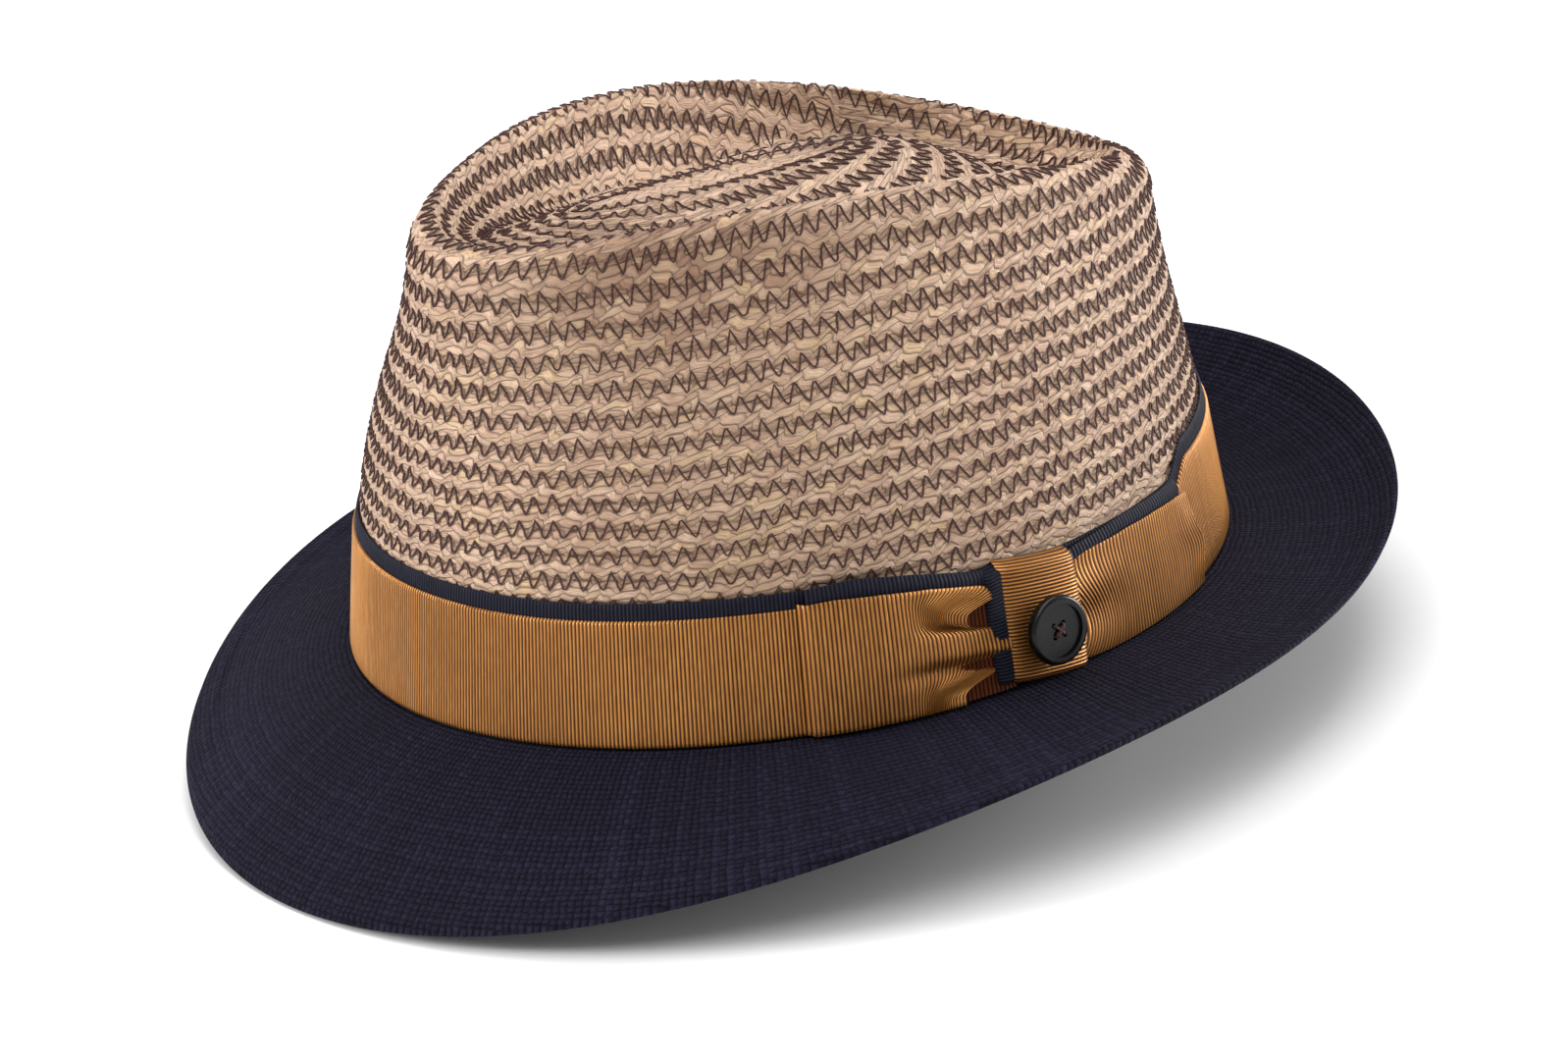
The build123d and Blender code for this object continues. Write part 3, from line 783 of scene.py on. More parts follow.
@dataclass
class Crown:
    """The straw crown: two closed shells of plait and a plain foot behind the band."""

    rows: PlaitRows
    lay: PlaitLay
    divide: float = 11.5
    foot_row: float = 22.9
    tip_columns: int = 830
    wall_columns: int = 860
    per_row: int = 9
    inner_rings: int = 8
    thick: float = 1.8
    straw_rise: float = 0.30
    cap_widths: tuple[float, ...] = (0.0, 0.35, 0.7)
    cap_evened: tuple[float, ...] = (1.0, 0.6, 0.3)
    cap_rows: tuple[float, ...] = (0.36, 0.24, 0.12)
    foot_columns: int = 240
    foot_rings: int = 10
    foot_inset: float = 0.12

    def turns(self, columns: int) -> Array:
        """Turns from the seam all the way round, the last just short of one whole turn."""
        return self.rows.seam + np.linspace(0.0, TURN * (1 - 1e-9), columns + 1)

    def relief(self, points: Array, normal: Array, along: Array, spiral: Array) -> Array:
        """Pushes the skin along its normal by the row's swell and the straws' height."""
        high = self.rows.swell(spiral) + self.straw_rise * (self.lay.straws(along, spiral) - 0.7)
        return points + normal * high[..., None]

    def shell(self, name: str, first: float, last: float, columns: int, closed_top: bool) -> Piece:
        """A closed shell between two row coordinates.

        Outer rings follow the relief, inner rings lie a straw's thickness inside; at the ridge
        both shrink to a line, by scaling the innermost ring's width to nothing.

        Args:
            name: the piece's name.
            first: upper row coordinate.
            last: lower row coordinate.
            columns: points round the crown.
            closed_top: whether the upper end closes on the ridge.

        Returns:
            The shell.
        """
        turn = self.turns(columns)
        row = np.linspace(first, last, int((last - first) * self.per_row) + 1)
        skin = self.rows.point(turn[None, :], row[:, None])
        normal = grid_normals(skin, True)
        normal *= np.sign((normal[-1] * np.stack([np.cos(turn), np.sin(turn), 0 * turn], -1)).sum())
        along = run_length(skin)
        spiral = row[:, None] + np.linspace(0.0, 1.0, columns + 1)[None, :] + self.rows.shift
        outer = self.relief(skin, normal, along, spiral)
        pick = np.round(np.linspace(0, len(row) - 1, self.inner_rings)).astype(int)
        inner = skin[pick] - normal[pick] * self.thick
        uv = np.stack([along, spiral], -1)
        inner_uv = uv[pick]
        if closed_top:
            outer, uv = self.shut(outer, uv)
            inner, inner_uv = self.shut(inner, inner_uv)
            points = np.concatenate([inner, outer[::-1]], axis=0)
            coords = np.concatenate([inner_uv, uv[::-1]], axis=0)
            return add_mesh(name, points, coords, True, False)
        points = np.concatenate([outer, inner[::-1], outer[:1]], axis=0)
        coords = np.concatenate([uv, inner_uv[::-1], uv[:1]], axis=0)
        return add_mesh(name, points, coords, True, True)

    def shut(self, rings: Array, uv: Array) -> tuple[Array, Array]:
        """Adds three rings that shrink the first ring's width to a line along the ridge."""
        shares = (self.cap_widths, self.cap_evened, self.cap_rows)
        widths, evened, rows = (np.array(values)[:, None, None] for values in shares)
        scale = widths * np.array([1.0, 0.0, 0.0]) + np.array([0.0, 1.0, 1.0])
        even = (rings[:1] + self.mirrored(rings[0])[None]) / 2.0
        cap = (rings[:1] * (1 - evened) + even * evened) * scale
        cap_uv = np.repeat(uv[:1], len(cap), axis=0) - rows * np.array([0.0, 1.0])
        return np.concatenate([cap, rings], axis=0), np.concatenate([cap_uv, uv], axis=0)

    def mirrored(self, ring: Array) -> Array:
        """The ring's partner points across the hat's middle plane: turn t matches pi - t."""
        count = len(ring) - 1
        turn = self.turns(count)[:-1]
        partner = np.mod(math.pi - turn - self.rows.seam, TURN) / TURN * count
        low = np.floor(partner).astype(int) % count
        part = (partner - np.floor(partner))[:, None]
        found = ring[low] * (1 - part) + ring[(low + 1) % count] * part
        return np.concatenate([found, found[:1]], axis=0) * np.array([-1.0, 1.0, 1.0])

    def foot(self) -> Piece:
        """The plain lower wall behind the band: a slab between the brim and the last row."""
        turn = self.turns(self.foot_columns)
        row = np.linspace(self.foot_row - 0.2, self.rows.last - 0.4, self.foot_rings)
        skin = self.rows.point(turn[None, :], row[:, None])
        low = self.rows.form.cone(turn[None, :], np.full((1, 1), 0.5))
        skin = np.concatenate([skin[skin[:, :, 2].min(axis=1) > 2.0], low], axis=0)
        normal = grid_normals(skin, True)
        normal *= np.sign((normal[0] * skin[0]).sum())
        uv = np.stack([run_length(skin), np.broadcast_to(skin[..., 2] / 5.0, skin.shape[:2])], -1)
        points, coords = slab(skin - normal * self.foot_inset, normal, self.thick - self.foot_inset, uv)
        return add_mesh("crown_foot", points, coords, True, True)

    def build(self, straw: Material) -> None:
        """Builds and dresses the shells, and stands them for the crown's solid."""
        tip = self.shell("crown_tip", 0.0, self.divide, self.tip_columns, True)
        wall = self.shell("crown_wall", self.divide, self.foot_row, self.wall_columns, False)
        foot = self.foot()
        for piece in (tip, wall, foot):
            settle(piece, straw)
        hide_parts("crown")


@dataclass
class Stitching:
    """The zigzag thread that joins each row of plait to the next, one long spiral."""

    rows: PlaitRows
    length: float = 3.9
    reach: float = 0.37
    radius: float = 0.26
    per_stitch: int = 8
    sides: int = 4
    top_row: float = -0.62
    core_row: float = 0.32
    low_row: float = 22.6
    divide: float = 11.5
    per_turn: int = 1440
    squash: float = 0.8
    vary_length: tuple[float, float] = (0.86, 1.14)
    vary_tall: tuple[float, float] = (0.8, 1.2)
    vary_lean: tuple[float, float] = (-0.1, 0.16)
    vary_drop: tuple[float, float] = (-0.06, 0.06)
    vary_skew: tuple[float, float] = (0.44, 0.58)
    round_below: float = -0.3
    round_depth: float = 0.5
    raise_all: float = 0.1
    lift_low: float = 0.10
    lift_high: float = 0.30
    seed: int = 11

    def centre(self) -> tuple[Array, Array, Array]:
        """Turns, row coordinates and distances along the joins' spiral.

        As the turn grows by one whole turn, the row coordinate falls by one row, down to a last
        loop round the ridge.
        """
        outer = math.floor(self.low_row + self.rows.shift) - self.rows.shift
        gone = np.arange(0.0, outer - self.top_row, 1.0 / self.per_turn)
        turn, row = self.rows.seam + TURN * gone, np.maximum(outer - gone, self.core_row)
        path = self.rows.point(turn, row)
        return turn, row, run_length(path[None])[0]

    def zigzag(self) -> tuple[Array, Array, Array]:
        """Turn, row coordinate and height above the joins of every point of the thread.

        The height across the row is a triangle wave whose lower turns are rounded by a floor,
        its upper turns lean forward, and each stitch has its own length and reach.
        """
        turn, row, gone = self.centre()
        luck = np.random.default_rng(self.seed)
        count = int(gone[-1] / self.length)
        ends = np.cumsum(self.length * luck.uniform(*self.vary_length, count + 2))
        ends = ends[ends < gone[-1] - self.length]
        count = len(ends) - 1
        ranges = (self.vary_tall, self.vary_lean, self.vary_drop, self.vary_skew)
        tall, lean, drop, skew = (luck.uniform(low, high, count) for low, high in ranges)
        phase = np.linspace(0.0, count, count * self.per_stitch, endpoint=False)
        stitch = np.floor(phase).astype(int)
        part, bend = phase - stitch, skew[stitch]
        wave = np.where(part < bend, part / bend, (1 - part) / (1 - bend)) * 2 - 1
        under = np.clip((self.round_below - wave) / (1 + self.round_below), 0, 1)
        rounded = self.round_below - self.round_depth * (1 - (1 - under) ** 2)
        wave = np.where(wave < self.round_below, rounded, wave)
        slide = part + lean[stitch] * 0.5 * (wave + 1) * 0.5
        place = ends[stitch] + slide * (ends[stitch + 1] - ends[stitch])
        across = -(wave * tall[stitch] - self.raise_all) * self.reach + drop[stitch]
        lift = self.lift_low + self.lift_high * (1 - np.abs(wave)) ** 0.7
        return np.interp(place, gone, turn), np.interp(place, gone, row) + across, lift

    def build(self, thread: Material) -> None:
        """Builds the thread in two lengths, one over the tip and one round the wall."""
        turn, row, lift = self.zigzag()
        here = self.rows.point(turn, row)
        step_turn, step_row = 0.004, 0.05
        along = self.rows.point(turn + step_turn, row) - self.rows.point(turn - step_turn, row)
        across = self.rows.point(turn, row + step_row) - self.rows.point(turn, row - step_row)
        normal = unit(np.cross(across, along))
        outward = np.stack([np.cos(turn), np.sin(turn), np.full_like(turn, 2.0)], -1)
        normal *= np.sign((normal * outward).sum(-1).mean())
        points = here + normal * (self.rows.swell(self.rows.spiral(turn, row)) + lift)[:, None]
        angle = np.linspace(0.0, TURN, self.sides + 1) + math.pi / 4
        cut = int(np.argmin(np.abs(row - self.divide)))
        for name, part in (("stitching_wall", slice(0, cut)), ("stitching_tip", slice(cut, None))):
            line = points[part]
            size = np.full(len(line), self.radius)
            size[[0, -1]] = 0.0
            gone = run_length(line[None])[0]
            settle(tube(name, line, normal[part], size, gone, angle, self.squash), thread)


@dataclass
class Brim:
    """The cloth brim: a dished ring with a turned hem, dropped in front and curled up behind."""

    form: CrownForm
    thick: float = 1.4
    mean_width: float = 36.3
    long_width: float = 3.1
    level: float = -4.8
    tilt: float = 16.5
    bow: float = 3.2
    snap: float = -2.9
    curl: float = 0.8
    start: float = 1.6
    inside: float = -2.95
    hem: float = 6.0
    hem_rise: float = 0.22
    hem_step: tuple[float, float] = (-0.5, 0.1)
    round_wide: float = 0.9
    least: float = 0.05
    crowding: float = 0.92
    collar_share: float = -0.12
    power: float = 1.75
    power_back: float = 0.45
    sag: float = 1.5
    columns: int = 720
    rings: int = 56
    threads: int = 640

    def edge(self, turn: Array) -> tuple[Array, Array]:
        """Width in plan and height of the edge, as sums of sines and cosines of the turn."""
        width = self.mean_width - self.long_width * np.cos(2 * turn)
        height = self.level + self.tilt * np.sin(turn) + self.bow * np.cos(2 * turn)
        return width, height + self.snap * np.sin(3 * turn) + self.curl * np.cos(4 * turn)

    def top(self, turn: Array, share: Array) -> Array:
        """Upper face: the edge's height times a power of the share, less a sag."""
        width, edge = self.edge(turn)
        foot = self.form.cone(turn, np.zeros_like(turn), self.start)
        power = self.power + self.power_back * np.sin(turn)
        sag = self.sag * (1 + np.sin(turn)) * 4 * share * (1 - share)
        height = edge * share**power - sag * share
        x = foot[..., 0] + width * share * np.cos(turn)
        y = foot[..., 1] + width * share * np.sin(turn)
        return np.stack([x, y, height], -1)

    def build(self, cloth: Material) -> None:
        """Upper face, rounded edge and lower face as one closed section carried round the hat."""
        turn = np.linspace(0.0, TURN, self.columns + 1)[None, :]
        share = np.linspace(0.0, 1.0, self.rings) ** self.crowding
        face = self.top(turn, share[:, None])
        inner = self.form.cone(turn, np.zeros_like(turn), self.inside)
        face = np.concatenate([inner, face], axis=0)
        width = self.edge(turn)[0]
        from_edge = (1 - np.concatenate([[self.collar_share], share]))[:, None] * width
        fold_in, fold_out = (self.hem + step for step in self.hem_step)
        rise = self.hem_rise * (1 - smooth(fold_in, fold_out, from_edge))
        lean = 1 - smooth(0.0, self.round_wide, from_edge)
        round_off = 0.5 * self.thick * (1 - np.sqrt(1 - lean**2 * 0.999))
        normal = grid_normals(face, True)
        normal *= np.sign(normal[..., 2].mean())
        swell = normal * (rise - round_off)[..., None]
        upper = face + swell
        lower = face - np.array([0.0, 0.0, 1.0]) * self.thick - swell
        lower[..., 2] = np.minimum(lower[..., 2], upper[..., 2] - self.least)
        points = np.concatenate([upper, lower[::-1], upper[:1]], axis=0)
        gone = run_length(face.transpose(1, 0, 2)).T
        count = np.broadcast_to(turn / TURN * self.threads, gone.shape)
        uv = np.stack([count, gone], -1)
        coords = np.concatenate([uv, uv[::-1], uv[:1]], axis=0)
        piece = add_mesh("brim_cloth", points, coords, True, True)
        settle(piece, cloth)
        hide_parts("brim")


@dataclass(frozen=True)
class Cut:
    """One piece of ribbon: its name, the solid it stands for, its cut size in metres and its look."""

    name: str
    node: str
    flat: tuple[float, float]
    finish: Material
    slot: Slot
    thick: float
    area: float | None = None

    def sew(self, points: Array, coords: Array, closed: bool, held: str, rests_on: str) -> None:
        """Makes the piece and dresses it.

        Args:
            points: its closed section, rows by columns by 3.
            coords: its UV.
            closed: whether it runs right round the crown.
            held: how the cloth is held; not used.
            rests_on: the piece that it lies on; not used.
        """
        piece = add_mesh(self.name, points, coords, closed, True)
        settle(piece, self.finish)
        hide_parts(self.node)


def profile(turn: Array, marks: Marks) -> Array:
    """Straight lines between marks of a direction in degrees and a height, at turns in radians."""
    at, height = zip(*marks)
    return np.interp(np.degrees(turn), at, height)


@dataclass
class Ribbons:
    """The band round the crown and the flat bow: loop, tail and knot, each navy under gold."""

    form: CrownForm
    pitch: float = 0.87
    relief: float = 0.16
    thick: float = 0.5
    pull: float = 5.6
    pull_front: tuple[float, float] = (-27.0, -9.0)
    pull_back: tuple[float, float] = (24.5, 31.5)
    band_ribs: int = 672
    band_seam: float = math.radians(100.0)
    band_shares: tuple[float, ...] = (0.0, 0.015, 0.04, 0.15, 0.35, 0.5, 0.65, 0.85, 0.96, 0.985, 1.0)
    band_thin: float = 0.28
    bow_radius: float = 91.0
    loop_from: float = -35.6
    loop_to: float = -8.6
    tail_from: float = -0.5
    tail_to: float = 27.2
    loop_top: Marks = (
        (-35.6, 28.2), (-31, 28.6), (-25, 27.8), (-19, 26.6), (-12, 24.2), (-10, 23.0), (-8, 22.0)
    )
    loop_back_top: Marks = ((-25, 26.0), (-12, 23.0), (-9, 21.5))
    loop_under_top: Marks = ((-34.5, 31.0), (-28, 31.6), (-21, 29.9), (-12, 26.9), (-9.6, 25.8))
    tail_under_top: Marks = ((-0.5, 23.4), (3, 24.6), (12, 25.9), (24.6, 25.6), (25.4, 25.4))
    tail_top: Marks = ((-0.5, 20.5), (2.6, 22.0), (6, 22.9), (12, 23.4), (18, 23.1), (24, 22.4), (27.2, 21.8))
    wrap_ribs: int = 36
    wrap_top: float = 0.88
    wrap_low: float = 0.08

    def surface(self, turn: Array, height: Array, offset: Array) -> tuple[Array, Array]:
        """Points and outward normals of the leaning oval at an offset."""
        here = self.form.cone(turn, height, offset)
        step = 1e-3
        round_it = self.form.cone(turn + step, height, offset) - self.form.cone(turn - step, height, offset)
        up = self.form.cone(turn, height + step, offset) - self.form.cone(turn, height - step, offset)
        return here, unit(np.cross(round_it, up))

    def pulled(self, turn: Array) -> Array:
        """How far the bow pulls the band's upper edge down: a plateau with S-shaped ends."""
        angle = np.degrees(np.angle(np.exp(1j * turn)))
        return self.pull * smooth(*self.pull_front, angle) * (1 - smooth(*self.pull_back, angle))

    def ribbed(self, rib: Array) -> Array:
        """Height of a rib: a raised cosine of its count."""
        return self.relief * 0.5 * (1 - np.cos(TURN * rib))

    def band(self, cut: Cut, low: float, high: float, outside: float) -> None:
        """A ribbon right round the crown, with upright ribs and rounded, slightly wavy edges.

        Args:
            cut: what the piece is.
            low: height of the lower edge.
            high: height of the upper edge.
            outside: offset of the ribs' feet outside the straw.
        """
        rib = np.linspace(0.0, self.band_ribs, self.band_ribs * 4 + 1)[None, :]
        turn = rib / self.band_ribs * TURN + self.band_seam
        share = np.array(self.band_shares)[:, None]
        wave = 0.14 * np.sin(3 * turn) + 0.1 * np.sin(7 * turn + 1.0)
        height = low + share * (high - low - self.pulled(turn)) + wave * share
        edge = 1 - np.clip(4 * np.minimum(share, 1 - share) / 0.16, 0, 1)
        offset = outside - self.band_thin * edge**3 + 0.16 * np.sin(5 * turn + 0.6) * share * (1 - share) * 2
        here, normal = self.surface(turn, height, offset)
        face = here + normal * (self.ribbed(rib) * (1 - 0.6 * edge))[..., None]
        uv = np.stack(np.broadcast_arrays(rib, height), -1)
        cut.sew(*slab(face, normal, cut.thick - self.band_thin * edge, uv), True, "stretched", "crown_wall")

    def patch(self, cut: Cut, turn: Array, height: Array, offset: Array, rib: Array) -> None:
        """An open piece of ribbon laid over the band, its side edges tapered shut.

        Args:
            cut: what the piece is.
            turn: turn of each point, rows by columns.
            height: height of each point.
            offset: offset of each point outside the straw.
            rib: count of ribs at each point.
        """
        here, normal = self.surface(turn, height, offset)
        rows, cols = turn.shape
        side = np.minimum(np.arange(cols), np.arange(cols)[::-1])[None, :]
        ends = np.minimum(np.arange(rows), np.arange(rows)[::-1])[:, None]
        taper = np.clip(side / 2.0, 0, 1) ** 0.5 * (0.35 + 0.65 * np.clip(ends / 2.0, 0, 1) ** 0.5)
        face = here + normal * ((self.ribbed(rib) - self.thick * 0.5) * taper + self.thick * 0.5)[..., None]
        face = face - normal * ((1 - taper) * cut.thick * 0.5)[..., None]
        uv = np.stack([rib, height], -1)
        cut.sew(*slab(face, normal, cut.thick * taper, uv), False, "folded", "band_gold_ribbon")

    def along(self, start: float, end: float, rings: int) -> tuple[Array, Array, Array]:
        """Turns, rib counts and shares of a patch between two directions in degrees.

        Args:
            start: direction where it starts.
            end: direction where it ends.
            rings: number of rows across the ribbon.

        Returns:
            Turn, rib and share across, rows by columns.
        """
        first, last = math.radians(start), math.radians(end)
        ribs = max(2, round((last - first) * self.bow_radius / self.pitch))
        rib = np.linspace(0.0, ribs, ribs * 4 + 1)[None, :]
        even = np.linspace(0.0, 1.0, rings)
        share = (0.5 - 0.5 * np.cos(math.pi * even)) * 0.35 + even * 0.65
        return np.broadcast_arrays(first + (last - first) * rib / ribs, rib, share[:, None])

    def loop(self, gold: Material, turned: Material, navy: Material) -> None:
        """The folded loop in front of the knot: puffed, creased, and open in a mouth at the knot.

        Its end draws back by two flat-topped Gaussians of the height, where its inside shows, a layer of gold
        darkened all over as painted shade.
        """
        turn, rib, up = self.along(self.loop_from, self.loop_to, 40)
        part = (np.degrees(turn) - self.loop_from) / (self.loop_to - self.loop_from)
        height = 0.8 + (profile(turn, self.loop_top) - 0.8) * up
        puff = 1.7 * np.sin(math.pi * np.clip(part, 0, 1) ** 0.75) ** 0.8
        puff = puff * (0.55 + 0.45 * np.sin(math.pi * up))
        crease = 1.5 * smooth(0.30, 0.75, part) * np.exp(-(((up - 0.36 + 0.06 * part) / 0.07) ** 2))
        gather = 0.45 * smooth(0.45, 1.0, part) * np.cos(TURN * 2.2 * up + 0.6)
        fold = 1.3 * (1 - smooth(0.0, 0.05, part))
        offset = 3.1 + puff - crease + gather - fold + 0.5 * smooth(0.8, 1.0, part)
        mouth = 6.0 * np.exp(-(((up - 0.80) / 0.14) ** 4)) + 7.4 * np.exp(-((up / 0.22) ** 4))
        turn = turn - np.radians(mouth) * smooth(0.45, 1.0, part)
        cut = Cut("loop_gold_fold", "loop_gold", (0.027, 0.046), gold, Slot.GOLD, 1.1)
        self.patch(cut, turn, height, offset, rib)
        # The loop's back layer takes the gold darkened all over: painted shade of the loop's inside.
        turn, rib, up = self.along(-25.0, -9.0, 14)
        height = 0.9 + (profile(turn, self.loop_back_top) - 0.9) * up
        cut = Cut("loop_gold_back", "loop_gold", (0.022, 0.024), turned, Slot.GOLD, 0.3)
        self.patch(cut, turn, height, 2.85 + 0 * up, rib)
        turn, rib, up = self.along(-34.5, -9.6, 12)
        height = 3.0 + (profile(turn, self.loop_under_top) - 3.0) * up
        offset = 2.1 + 0.8 * smooth(0.5, 1.0, up) - 0.9 * smooth(0.94, 1.0, up)
        cut = Cut("loop_navy_under", "loop_navy", (0.028, 0.042), navy, Slot.NAVY, 0.5)
        self.patch(cut, turn, height, offset, rib)

    def tail(self, gold: Material, navy: Material) -> None:
        """The tail behind the knot: gathered into an S of ribs by the knot, cut aslant at its end."""
        turn, rib, up = self.along(self.tail_from, self.tail_to, 30)
        part = (np.degrees(turn) - self.tail_from) / (self.tail_to - self.tail_from)
        low = 0.6 + 0.5 * (1 - smooth(0.0, 0.3, part))
        height = low + (profile(turn, self.tail_top) - low) * up
        fade = (1 - smooth(0.0, 0.55, part)) * smooth(0.0, 0.08, part)
        ess = 0.030 * np.sin(TURN * (up * 0.9 - 0.05)) * fade
        slant = math.radians(1.0) * (0.5 - up) * smooth(0.6, 1.0, part)
        slant = slant + math.radians(1.4) * np.exp(-(((up - 0.42) / 0.2) ** 2)) * part**4
        gather = 0.55 * (1 - smooth(0.0, 0.5, part)) * np.cos(TURN * 1.6 * up - 0.9)
        lift = 0.9 * smooth(0.8, 1.0, part) * np.sin(math.pi * up)
        offset = 2.75 + 0.5 * np.sin(math.pi * part) + gather + lift
        cut = Cut("tail_gold_end", "tail_gold", (0.025, 0.045), gold, Slot.GOLD, 0.55)
        self.patch(cut, turn + ess + slant, height, offset, rib)
        turn, rib, up = self.along(self.tail_from, 25.2, 12)
        height = 3.0 + (profile(turn, self.tail_under_top) - 3.0) * up
        offset = 2.1 + 0.5 * smooth(0.5, 1.0, up) - 0.7 * smooth(0.94, 1.0, up)
        cut = Cut("tail_navy_under", "tail_navy", (0.026, 0.040), navy, Slot.NAVY, 0.5)
        self.patch(cut, turn, height, offset, rib)

    def knot(self, gold: Material, navy: Material) -> None:
        """The knot wrapped upright round the middle, its ribs lying level, navy showing in front."""
        cut = Cut("knot_gold_wrap", "knot_gold", (0.018, 0.034), gold, Slot.GOLD, 1.0)
        self.wrap(cut, -9.7, 1.5, (27.7, 25.1), (1.2, -1.2), 4.25)
        cut = Cut("knot_navy_edge", "knot_navy", (0.010, 0.034), navy, Slot.NAVY, 0.9, 0.00016)
        self.wrap(cut, -11.5, -9.2, (26.3, 27.2), (1.6, 1.2), 3.7)

    def wrap(self, cut: Cut, start: float, end: float, tops: tuple[float, float], lows: tuple[float, float],
             outside: float) -> None:
        """A short ribbon carried upright over the bow, turned in over its upper and lower ends.

        Args:
            cut: what the piece is.
            start: direction of its front edge in degrees.
            end: direction of its back edge.
            tops: height of the upper end at the front and at the back.
            lows: height of the lower end at the front and at the back.
            outside: offset of its face outside the straw.
        """
        rib = np.linspace(0.0, self.wrap_ribs, self.wrap_ribs * 4 + 1)[:, None]
        side = np.linspace(0.0, 1.0, 25)[None, :]
        up = rib / self.wrap_ribs
        turn = np.radians(start + (end - start) * side) + 0.012 * np.sin(math.pi * up) * (side - 0.5)
        top = tops[0] + (tops[1] - tops[0]) * side
        low = lows[0] + (lows[1] - lows[0]) * side
        bend = np.clip((up - self.wrap_top) / (1 - self.wrap_top), 0, 1) * math.pi / 2
        tuck = np.clip((self.wrap_low - up) / self.wrap_low, 0, 1)
        climb = np.minimum(up, self.wrap_top) / self.wrap_top * 0.93 + 0.07 * np.sin(bend)
        offset = outside - 3.1 * (1 - np.cos(bend)) - 2.2 * tuck**2
        offset = offset + 0.35 * np.sin(math.pi * side) - 0.5 * (np.abs(2 * side - 1) ** 6)
        here, normal = self.surface(turn, low + (top - low) * climb, offset)
        edge = 1 - np.clip(np.minimum(side, 1 - side) / 0.08, 0, 1)
        face = here + normal * (self.ribbed(rib) * (1 - edge))[..., None]
        uv = np.stack(np.broadcast_arrays(rib, side * 16.0), -1)
        taper = np.clip(1 - edge, 0, 1) ** 0.5 * np.clip(np.minimum(up, 1 - up) / 0.02, 0, 1) ** 0.5
        face = face - normal * ((1 - taper) * cut.thick * 0.5)[..., None]
        cut.sew(*slab(face, normal, cut.thick * taper, uv), False, "folded", "band_gold_ribbon")

    def build(self, gold: Material, turned: Material, navy: Material) -> None:
        """Builds the band and the bow from the straw outwards."""
        under = Cut("band_navy_ribbon", "band_navy", (0.030, 0.58), navy, Slot.NAVY, self.thick)
        self.band(under, 0.5, 30.6, 0.78)
        over = Cut("band_gold_ribbon", "band_gold", (0.0267, 0.58), gold, Slot.GOLD, self.thick)
        self.band(over, 0.5, 27.2, 1.42)
        self.loop(gold, turned, navy)
        self.tail(gold, navy)
        self.knot(gold, navy)


@dataclass
class Sweatband:
    """The cotton sweatband inside the opening and the reed in the welt along its lower edge."""

    form: CrownForm
    low: float = 1.2
    high: float = 32.0
    outside: float = -3.1
    thick: float = 0.9
    soft: float = 0.15

    def build(self, cotton: Material, welt: Material) -> None:
        """An oval slab that stands inside the crown, over a tube carried round its lower edge."""
        turn = np.linspace(0.0, TURN, 361)[None, :]
        share = np.linspace(0.0, 1.0, 16)[:, None]
        height = self.low + (self.high - self.low) * share + 0.25 * np.sin(4 * turn) * share
        offset = self.outside - self.thick + 0.12 * np.sin(9 * turn) * np.sin(math.pi * share) ** 2
        skin = self.form.cone(turn, height, offset)
        normal = -grid_normals(skin, True)
        normal *= -np.sign((normal * skin).sum())
        uv = np.stack(np.broadcast_arrays(turn / TURN * 500.0, height), -1)
        points, coords = slab(skin, normal, self.thick - self.soft, uv)
        band = add_mesh("sweatband_cotton", points, coords, True, True)
        settle(band, cotton)
        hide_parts("sweatband")
        low, high = (np.array(corner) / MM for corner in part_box("sweatband_reed"))
        radius = (high[2] - low[2]) / 2
        round_it = np.linspace(0.0, TURN, 25)[:, None]
        half = (high - low) / 2 - radius
        x = (half[0] + radius * np.cos(round_it)) * np.cos(turn)
        y = (half[1] + radius * np.cos(round_it)) * np.sin(turn)
        z = (low[2] + high[2]) / 2 + radius * np.sin(round_it) + 0 * turn
        uv = np.stack(np.broadcast_arrays(turn / TURN * 520.0, round_it), -1)
        reed = add_mesh("reed_welt", np.stack([x, y, z], -1), uv, True, True)
        settle(reed, welt)
        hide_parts("sweatband_reed")


